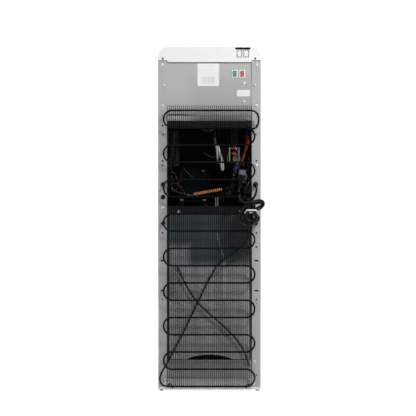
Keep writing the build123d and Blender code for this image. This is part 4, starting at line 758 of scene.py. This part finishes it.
# Painted shade: dark discs and slots just behind the flanges' outer sheet, seen through their holes and slots.
dimple_x = 0.1415
for x, heights in ((dimple_x, (0.8025, 0.696, 0.682, 0.478)), (-dimple_x, (0.8025, 0.696, 0.478, 0.436))):
    for z in heights:
        turn_on(form, (x, rear_y - 0.0012, z), to_rear, [(0.0029, 0.0), (0.0029, 0.0003)])
    for z in (0.3945, 0.304):
        add_slab(form, (x, rear_y - 0.0012, z), (0.0126, 0.0003, 0.0046), 0.0021)
settle("flange_recesses", form, "recess_shade")
settle("flange_rims", rims, "white_steel")

# ---- Labels ----
# The blank service labels on the upper panel with their faint ruled lines, and the switches' guide on the cover.
paint("label_white", "printed_film", (0.82, 0.82, 0.82))
paint("label_black", "printed_film", (0.004, 0.005, 0.005), specular=0.05)
paint("box_grey", "printed_film", (0.7, 0.7, 0.71))


def add_print(form, left, top, right, bottom, y, thick, corner=0.0):
    """A flat label or print between two pixels of the photograph."""
    first, last = seen_at(left, top, y), seen_at(right, bottom, y)
    add_slab(form, (first + last) / 2, (first.x - last.x, thick, first.z - last.z), corner)


form, faint = bmesh.new(), bmesh.new()
add_print(form, 197.5, 63.5, 219.0, 86.0, panel_y, 0.0003, 0.001)
add_print(form, 237.0, 90.0, 249.7, 96.3, panel_y, 0.0003, 0.001)
add_print(faint, 202.0, 76.5, 215.0, 83.5, panel_y + 0.0003, 0.00005)
for left, top, right in ((201.5, 65.4, 214.5), (202.5, 69.8, 212.0), (205.0, 73.0, 215.5)):
    add_print(faint, left, top, right, top + 0.35, panel_y + 0.0003, 0.00005)
for top, right in ((91.6, 246.5), (93.2, 247.5), (94.7, 244.5)):
    add_print(faint, 239.0, top, right, top + 0.5, panel_y + 0.0003, 0.00005)
settle("service_labels", form, "label_white")
settle("label_panel", faint, "box_grey")
form, dark = bmesh.new(), bmesh.new()
add_print(form, 235.0, 47.3, 250.9, 58.8, cover_y, 0.0002, 0.001)
add_print(dark, 235.3, 47.4, 250.5, 49.5, cover_y + 0.0002, 0.0001)
for left, right in ((237.1, 241.7), (243.7, 248.6)):
    first, last = seen_at(left, 50.2, cover_y), seen_at(right, 57.0, cover_y)
    across, up = 3, 5
    for n in range(across + 1):
        for m in range(up + 1):
            if n in (0, across) or m in (0, up):
                x, z = last.x + (first.x - last.x) * n / across, last.z + (first.z - last.z) * m / up
                add_slab(dark, (x, cover_y + 0.0002, z), (0.0031, 0.0001, 0.0027), 0.0004)
settle("switch_guide", form, "label_white")
settle("switch_guide_print", dark, "label_black")

# ---- Shade under the cover ----
# Painted shade: a black strip that stands for the shadow gap under the cover's lip and on the ends of the flanges.
form = bmesh.new()
add_slab(form, (0.0, panel_y, 0.9927), (0.254, 0.0012, 0.0018))
for side in (-1, 1):
    add_slab(form, (side * 0.1413, rear_y, 0.9985), (0.0262, 0.0004, 0.0012))
settle("cover_seam_shade", form, "felt")

# ---- Marks of the rocker switches ----
# A pale bar and ring moulded in the two halves of each rocker, that tilt with it.
bar_y, bar_z, ring_y, ring_z, ring_radius = 0.1512, 0.9538, 0.15255, 0.962, 0.0019
for name, body, x in (("green", "green_rocker", -0.076), ("red", "red_rocker", -0.0988)):
    form = bmesh.new()
    add_slab(form, (x, bar_y, bar_z), (0.0012, 0.0002, 0.0044), 0.0005)
    settle(name + "_bar", form, "label_white", body=body)
    lay_wire(name + "_ring", [(
        x + ring_radius * cos(a), ring_y + ring_radius * 0.32 * sin(a),
        ring_z + ring_radius * 0.95 * sin(a)) for a in round_angles(10)],
        0.0005, "label_white", closed=True, body=body)

# ---- Terminal block ----
# A milky frame on its tab, open behind, with red plug connectors and a pink ceramic block between its posts.
paint("frame_white", "moulded_plastic", (0.34, 0.34, 0.33), specular=0.3)
paint("link_white", "moulded_plastic", (0.62, 0.62, 0.6), specular=0.3)
paint("pink_ceramic", "textured_plastic", (0.3, 0.2, 0.185), specular=0.2)
paint("connector_red", "moulded_plastic", (0.34, 0.002, 0.006), specular=0.2)
paint("connector_blue", "moulded_plastic", (0.01, 0.045, 0.24), specular=0.3)
form = bmesh.new()
block_x, block_y, block_z, block_tall = -0.075, 0.1188, 0.7145, 0.044
for x in (-0.0606, -0.0893):
    add_slab(form, (x, block_y, block_z), (0.0042, 0.0236, block_tall), 0.0012)
add_slab(form, (block_x, block_y, 0.735), (0.031, 0.008, 0.0026), 0.0008)
block = settle("terminal_frame", form, "frame_white")
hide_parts("terminal_box")
form, pins = bmesh.new(), bmesh.new()
add_slab(form, (block_x, block_y - 0.0002, block_z), (0.033, 0.003, block_tall), 0.0015)
settle("terminal_back", form, "felt")
form = bmesh.new()
for px, py, wide, tall in ((234.0, 148.4, 0.008, 0.0056), (234.2, 152.9, 0.0098, 0.008)):
    centre = seen_at(px, py, 0.126)
    add_slab(form, centre, (wide, 0.013, tall), 0.0008)
    for n in (-1, 0, 1):
        add_slab(pins, centre + Vector((n * 0.0024, 0.0128, -0.0016)), (0.0009, 0.0006, 0.0018))
settle("terminal_plugs", form, "connector_red")
settle("terminal_pins", pins, "zinc")
form = bmesh.new()
add_print(form, 232.4, 156.8, 238.4, 161.4, 0.1215, 0.018, 0.002)
add_print(form, 236.4, 152.8, 238.4, 156.2, 0.123, 0.014, 0.001)
settle("ceramic_block", form, "pink_ceramic")
lay_wire("frame_link", seen_line(
    (234.6, 146.6, 0.13), (235.6, 147.8, 0.139), (236.6, 149.8, 0.14), (237.8, 151.6, 0.134)),
    0.0024, "link_white")

# ---- Wiring ----
# Red, blue and orange leads come down from the switches in a black sleeve, fan out to their connectors, and run on
# to the relay in another sleeve. Thin earth, sensor and relay leads lie about them.
for name, colour in (
    ("wire_red", (0.38, 0.006, 0.008)), ("wire_orange", (0.6, 0.17, 0.02)), ("wire_blue", (0.012, 0.035, 0.14)),
    ("wire_yellow", (0.26, 0.27, 0.05)), ("wire_tan", (0.1, 0.085, 0.07)), ("wire_olive", (0.035, 0.04, 0.016)),
    ("wire_grey", (0.07, 0.07, 0.075)), ("wire_rust", (0.085, 0.022, 0.018)),
):
    paint(name, "soft_rubber", colour, specular=0.25)
for name, look, diameter, points in (
    ("harness_sleeve", "felt", 0.01, (
        (247.9, 112, 0.1264), (247.9, 120, 0.1264), (248.3, 129, 0.1275), (247.9, 136.0, 0.132))),
    ("lead_red", "wire_red", 0.0036, (
        (247.7, 130, 0.128), (247.4, 137, 0.135), (247.2, 142, 0.138), (245.9, 147.5, 0.14), (244.9, 152, 0.14),
        (244.1, 156, 0.139), (243.4, 160.5, 0.136), (243.0, 164, 0.131))),
    ("lead_red_twin", "wire_red", 0.0034, (
        (248.7, 130, 0.1264), (248.5, 137, 0.132), (248.0, 142, 0.135), (246.3, 147.8, 0.136), (245.0, 153, 0.135),
        (243.0, 158.0, 0.132), (241.2, 162, 0.129), (240.2, 165, 0.126))),
    ("lead_orange", "wire_orange", 0.0024, (
        (249.0, 130, 0.129), (249.5, 138.0, 0.133), (248.6, 143.0, 0.135), (246.3, 149.5, 0.136),
        (244.6, 153.5, 0.141), (243.4, 156.6, 0.144), (242.4, 159.6, 0.142), (241.0, 163.6, 0.138),
        (240.2, 166, 0.13))),
    ("lead_blue", "wire_blue", 0.0026, (
        (246.6, 130, 0.129), (246.2, 138, 0.132), (245.4, 145, 0.134), (244.2, 150, 0.136), (242.9, 154, 0.137),
        (241.6, 158.5, 0.138), (239.8, 162.4, 0.136), (238.6, 164.5, 0.133))),
    ("lead_white", "link_white", 0.0022, (
        (239.5, 156.6, 0.132), (239.6, 160.2, 0.136), (238.7, 162.6, 0.135), (238.0, 165.0, 0.131))),
    ("earth_block", "wire_yellow", 0.0022, (
        (229.8, 151.0, 0.13), (228.4, 153.6, 0.141), (227.5, 157.0, 0.142), (227.7, 160.0, 0.139),
        (229.0, 162.4, 0.13))),
    ("earth_inner", "wire_yellow", 0.0024, (
        (231.8, 152.8, 0.139), (232.8, 155.4, 0.142), (235.4, 156.0, 0.142), (236.0, 153.6, 0.139))),
    ("earth_side", "wire_yellow", 0.002, (
        (249.9, 177.5, 0.136), (249.5, 180.5, 0.14), (248.3, 184.0, 0.141), (246.8, 187.0, 0.139),
        (244.6, 189.0, 0.132))),
    ("earth_low", "wire_olive", 0.0024, (
        (233.0, 182.0, 0.132), (232.4, 184.8, 0.137), (230.8, 187.0, 0.138), (228.4, 188.6, 0.136),
        (225.4, 188.4, 0.13))),
    ("olive_low", "wire_olive", 0.0022, (
        (235.6, 184.5, 0.13), (233.4, 187.4, 0.136), (230.6, 190.0, 0.135), (227.0, 192.6, 0.126))),
    ("lead_low_red", "wire_rust", 0.0024, (
        (240.6, 185.0, 0.134), (242.4, 187.2, 0.137), (244.4, 189.4, 0.134), (245.6, 192.0, 0.128))),
    ("sensor_lead", "wire_tan", 0.0022, (
        (203.5, 152.8, 0.118), (206.4, 154.6, 0.128), (210.2, 156.8, 0.135), (213.2, 157.6, 0.139),
        (216.6, 156.2, 0.138))),
    ("relay_lead", "wire_grey", 0.0024, (
        (183.4, 166.6, 0.112), (184.4, 169.4, 0.122), (188.2, 173.6, 0.13), (191.2, 176.6, 0.132),
        (195.0, 178.2, 0.128))),
    ("tank_strap", "wire_rust", 0.0034, (
        (200.8, 127.5, 0.136), (202.4, 130.2, 0.14), (207.0, 130.9, 0.141), (210.4, 130.9, 0.141))),
    ("strap_tail", "wire_grey", 0.0034, (
        (209.6, 130.9, 0.141), (212.4, 131.0, 0.141), (213.6, 128.5, 0.138))),
):
    lead = lay_wire(name, seen_line(*points), diameter, look)
    if name == "harness_sleeve":
        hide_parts("wiring_harness")
lay_wire("relay_sleeve", seen_line((239.6, 164.6, 0.124), (237.0, 171.0, 0.12)) + [
    (-0.082, 0.106, 0.662), (-0.066, 0.076, 0.612), (-0.0491, 0.074, 0.606)], 0.008, "felt")
for name, look, slot, y, thick, corner, blocks in (
    ("blue_connectors", "connector_blue", "blue_plastic", 0.126, 0.011, 0.001, (
        (236.6, 164.2, 0.008, 0.0052), (237.5, 167.6, 0.0092, 0.009), (235.3, 168.6, 0.0056, 0.012),
        (240.3, 159.6, 0.0036, 0.009))),
    ("red_connectors", "connector_red", "red_plastic", 0.125, 0.009, 0.0008, (
        (233.3, 169.2, 0.004, 0.0085), (243.2, 164.6, 0.0042, 0.008), (236.4, 169.8, 0.003, 0.0036))),
    ("white_connectors", "frame_white", "pale_plastic", 0.131, 0.008, 0.0008, (
        (235.2, 172.4, 0.004, 0.0036), (233.7, 174.8, 0.0044, 0.004), (233.4, 178.4, 0.0026, 0.0036),
        (237.6, 163.6, 0.0022, 0.002), (236.0, 166.4, 0.0018, 0.0026))),
):
    form = bmesh.new()
    for px, py, wide, tall in blocks:
        add_slab(form, seen_at(px, py, y), (wide, thick, tall), corner)
    settle(name, form, look)

# ---- Hoses ----
# Silicone: from the bottle probe to the pump, from the pump up to the cold tank, and from there to the hot tank,
# the last two painted dark for the shade of the bay, with a milky vent hose and a wider overflow beside them.
pump_x, pump_y, port_z = -0.092, -0.022, 0.575
probe_x, probe_y, shelf_top, hose_d = -0.121, 0.1066, 0.559, 0.007
paint("milky_silicone", "clear_silicone", (0.7, 0.69, 0.68))
paint("blue_silicone", "clear_silicone", (0.055, 0.08, 0.105))
# Painted shade: the hoses inside the bay painted near black.
paint("shade_dark_silicone", "clear_silicone", (0.006, 0.008, 0.01), specular=0.1)
rise = lay_wire("rising_hose", [
    (pump_x + 0.0243, pump_y + 0.006, port_z), (pump_x + 0.038, pump_y + 0.006, port_z),
    (-0.036, pump_y + 0.032, 0.64), (-0.036, slot_y - 0.022, 0.668), (-0.03, 0.125, 0.69), (-0.0235, slot_y, 0.712),
    (-0.0205, slot_y, 0.74), (-0.0165, slot_y, 0.762),
    (-0.016, slot_y, 0.82)], hose_d, "shade_dark_silicone")
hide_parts("silicone_hoses")
lay_wire("rising_hose_sleeve", seen_line(
    (214.6, 138.2, slot_y), (214.8, 141.0, slot_y), (215.6, 144.6, slot_y), (216.0, 147.2, slot_y)),
    0.009, "blue_silicone")
lay_wire("probe_hose", [
    (probe_x, probe_y, 0.487), (probe_x, probe_y, 0.577), (probe_x, probe_y - 0.04, 0.589),
    (pump_x, pump_y + 0.032, port_z), (pump_x, pump_y + 0.0242, port_z)], hose_d, "silicone")
lay_wire("falling_hose", [
    (-0.028, slot_y, 0.82), (-0.028, slot_y, 0.784), (-0.029, 0.096, 0.766), (-0.0328, 0.0836, 0.762),
    (-0.041, 0.0726, 0.762)], hose_d, "shade_dark_silicone")
lay_wire("vent_hose", seen_line(
    (216.4, 146.2, 0.137), (216.7, 149.0, 0.1395), (217.0, 153.0, 0.1395), (217.5, 157.0, 0.139),
    (217.8, 159.6, 0.134), (218.6, 163.0, 0.124)),
    0.0062, "milky_silicone")
lay_wire("overflow_hose", seen_line(
    (218.2, 146.2, 0.132), (218.7, 149.2, 0.138), (219.9, 153.6, 0.139), (221.3, 158.0, 0.1385),
    (222.6, 161.6, 0.138)),
    hose_d, "milky_silicone")
form = bmesh.new()
start, end = seen_at(221.6, 161.6, 0.136), seen_at(222.6, 170.6, 0.13)
add_loft(form, start, end - start, to_left, [
    (-0.004, 0.0034, 0.0034, 2.0), (0.0, 0.005, 0.004, 2.2), (0.008, 0.0058, 0.0034, 2.4),
    (0.016, 0.0062, 0.0028, 2.6), (0.023, 0.005, 0.0022, 2.6), (0.028, 0.003, 0.0014, 2.4)], 24)
settle("overflow_tongue", form, "milky_silicone")
form = bmesh.new()
for px in (215.7, 217.7):
    foot = seen_at(px, 205.6, 0.138)
    turn_on(form, (foot.x, foot.y, shelf_top), upwards, [
        (0.0015, 0.0), (0.0015, 0.024), (0.0019, 0.025), (0.0019, 0.027), (0.0012, 0.028)], 16)
settle("drain_barbs", form, "frame_white")

# ---- Feet ----
# Four grey rubber stubs under the corners of the base.
foot_x, front_foot_y, rear_foot_y = 0.146, -0.13, 0.1298
form = bmesh.new()
for x in (-foot_x, foot_x):
    for y in (front_foot_y, rear_foot_y):
        turn_on(form, (x, y, 0), upwards, [(0.005, 0.0), (0.0056, 0.0008), (0.0062, 0.006), (0.007, 0.0118)], 24)
paint("foot_grey", "soft_rubber", (0.62, 0.62, 0.62))
stubs = settle("rubber_feet", form, "foot_grey")
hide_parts("feet")

# ---- Taps ----
# Three black nozzles with a bored tip, each pushed up through the alcove's ceiling.
tap_spacing, tap_y, ceiling_z = 0.052, -0.128, 0.85
form = bmesh.new()
for x in (-tap_spacing, 0.0, tap_spacing):
    turn_on(form, (x, tap_y, ceiling_z), downwards, [
        (0.0062, -0.0145), (0.0062, 0.0), (0.0104, 0.0), (0.0104, 0.0018), (0.0082, 0.004), (0.0078, 0.02),
        (0.007, 0.03), (0.0063, 0.0372), (0.0057, 0.038), (0.0043, 0.038), (0.004, 0.0374), (0.004, 0.03)], 28)
taps = settle("tap_nozzles", form, "black_gloss")
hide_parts("spouts")

# ---- Marks of the control panel ----
# A plain pale drop on each button, that moves with it, and a small lamp above it.
paint("lamp_white", "printed_film", (0.7, 0.72, 0.74))
button_spacing, button_z, lamp_z, drop_radius = 0.062, 0.92, 0.952, 0.0042
outline = [(0.0, 0.0075)]
for a in range(155, 386, 21):
    outline.append((drop_radius * cos(radians(a)), -0.001 + drop_radius * sin(radians(a))))
for name, body, x in (
    ("hot", "hot_button", -button_spacing), ("room", "room_button", 0.0), ("cold", "cold_button", button_spacing),
):
    form = bmesh.new()
    skin(form, [[form.verts.new((x + across, y, button_z + up)) for across, up in outline]
                for y in (-0.1799, -0.1802)])
    settle(name + "_drop", form, "lamp_white", body=body)
    form = bmesh.new()
    turn_on(form, (x, -0.1789, lamp_z), to_front, [(0.0017, 0.0), (0.0017, 0.0003), (0.0009, 0.0006)], 18)
    settle(name + "_lamp", form, "lamp_white")

# ---- Bottle probe ----
# A white cap that seals the bottle's neck, with a ribbed skirt and a dip tube that reaches its bottom.
form = bmesh.new()
turn_on(form, (probe_x, probe_y, 0.449), upwards, [
    (0.019, 0.019), (0.019, 0.0006), (0.024, 0.0), (0.025, 0.0012), (0.025, 0.004), (0.0242, 0.0052), (0.0238, 0.016),
    (0.0222, 0.0235), (0.0205, 0.026), (0.0075, 0.0264), (0.006, 0.028), (0.006, 0.03), (0.0052, 0.031),
    (0.006, 0.0345), (0.0052, 0.035), (0.0058, 0.0378), (0.0048, 0.038)], 36)
turn_on(form, (probe_x, probe_y, 0.069), upwards, [
    (0.004, 0.004), (0.0045, 0.0), (0.006, 0.0012), (0.006, 0.385)], 24)
probe = settle("probe_cap_and_tube", form, "pale_plastic")
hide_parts("bottle_probe")

# ---- Floor and light ----
# A plain white floor under an even white sky, with a strong lamp high on the picture's right, a weaker and softer
# one on its left, and one in front for the other views.
floor_mesh = bpy.data.meshes.new("studio_floor")
floor_form = bmesh.new()
bmesh.ops.create_circle(floor_form, cap_ends=True, segments=64, radius=25.0)
floor_form.to_mesh(floor_mesh)
floor_form.free()
floor = add_object("studio_floor", floor_mesh)
floor.location.z = -0.0003
studio_white = paint("studio_white", "printed_film", (0.9, 0.9, 0.9), specular=0.0)


def seen_rays(tree):
    """A mask of the rays that show the background: the camera's own, and those from gloss and clear pieces."""
    rays = add_node(tree, "LightPath", {}).outputs
    found = rays["Is Camera Ray"]
    for label in ("Is Glossy Ray", "Is Transmission Ray"):
        found = combine(tree, "MAXIMUM", found, rays[label])
    return found


white, floor_glow, sky_light, sky_seen = (1.0, 1.0, 1.0, 1.0), 0.8, 0.3, 1.05
tree = studio_white.node_tree
glow = combine(tree, "MULTIPLY", seen_rays(tree), floor_glow)
fill_inputs(tree, tree.nodes["Principled BSDF"], {"Emission Color": white, "Emission Strength": glow})
floor_mesh.materials.append(studio_white)
floor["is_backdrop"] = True
world = bpy.data.worlds.new("studio_sky")
world.use_nodes = True
tree = world.node_tree
strength = add_node(tree, "MapRange", {
    "Value": seen_rays(tree), "To Min": sky_light, "To Max": sky_seen}).outputs[0]
fill_inputs(tree, tree.nodes["Background"], {"Color": white, "Strength": strength})
bpy.context.scene.world = world
lamp_aim = Vector((0.0, 0.0, 0.55))
for name, place, size, power in (
    ("key_lamp", (-1.2, 1.5, 2.3), 0.45, 46.0),
    ("fill_lamp", (2.4, 3.0, 1.6), 2.2, 9.0),
    ("front_lamp", (1.2, -3.2, 2.2), 2.4, 44.0),
):
    lamp_data = bpy.data.lights.new(name, "AREA")
    lamp_data.shape = "DISK"
    lamp_data.size = size
    lamp_data.energy = power
    lamp = add_object(name, lamp_data)
    lamp.location = place
    lamp.rotation_euler = (lamp_aim - Vector(place)).to_track_quat("-Z", "Y").to_euler()
bpy.context.scene.view_settings.view_transform = "Standard"

# ---- Bounds of the scene ----
low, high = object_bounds()
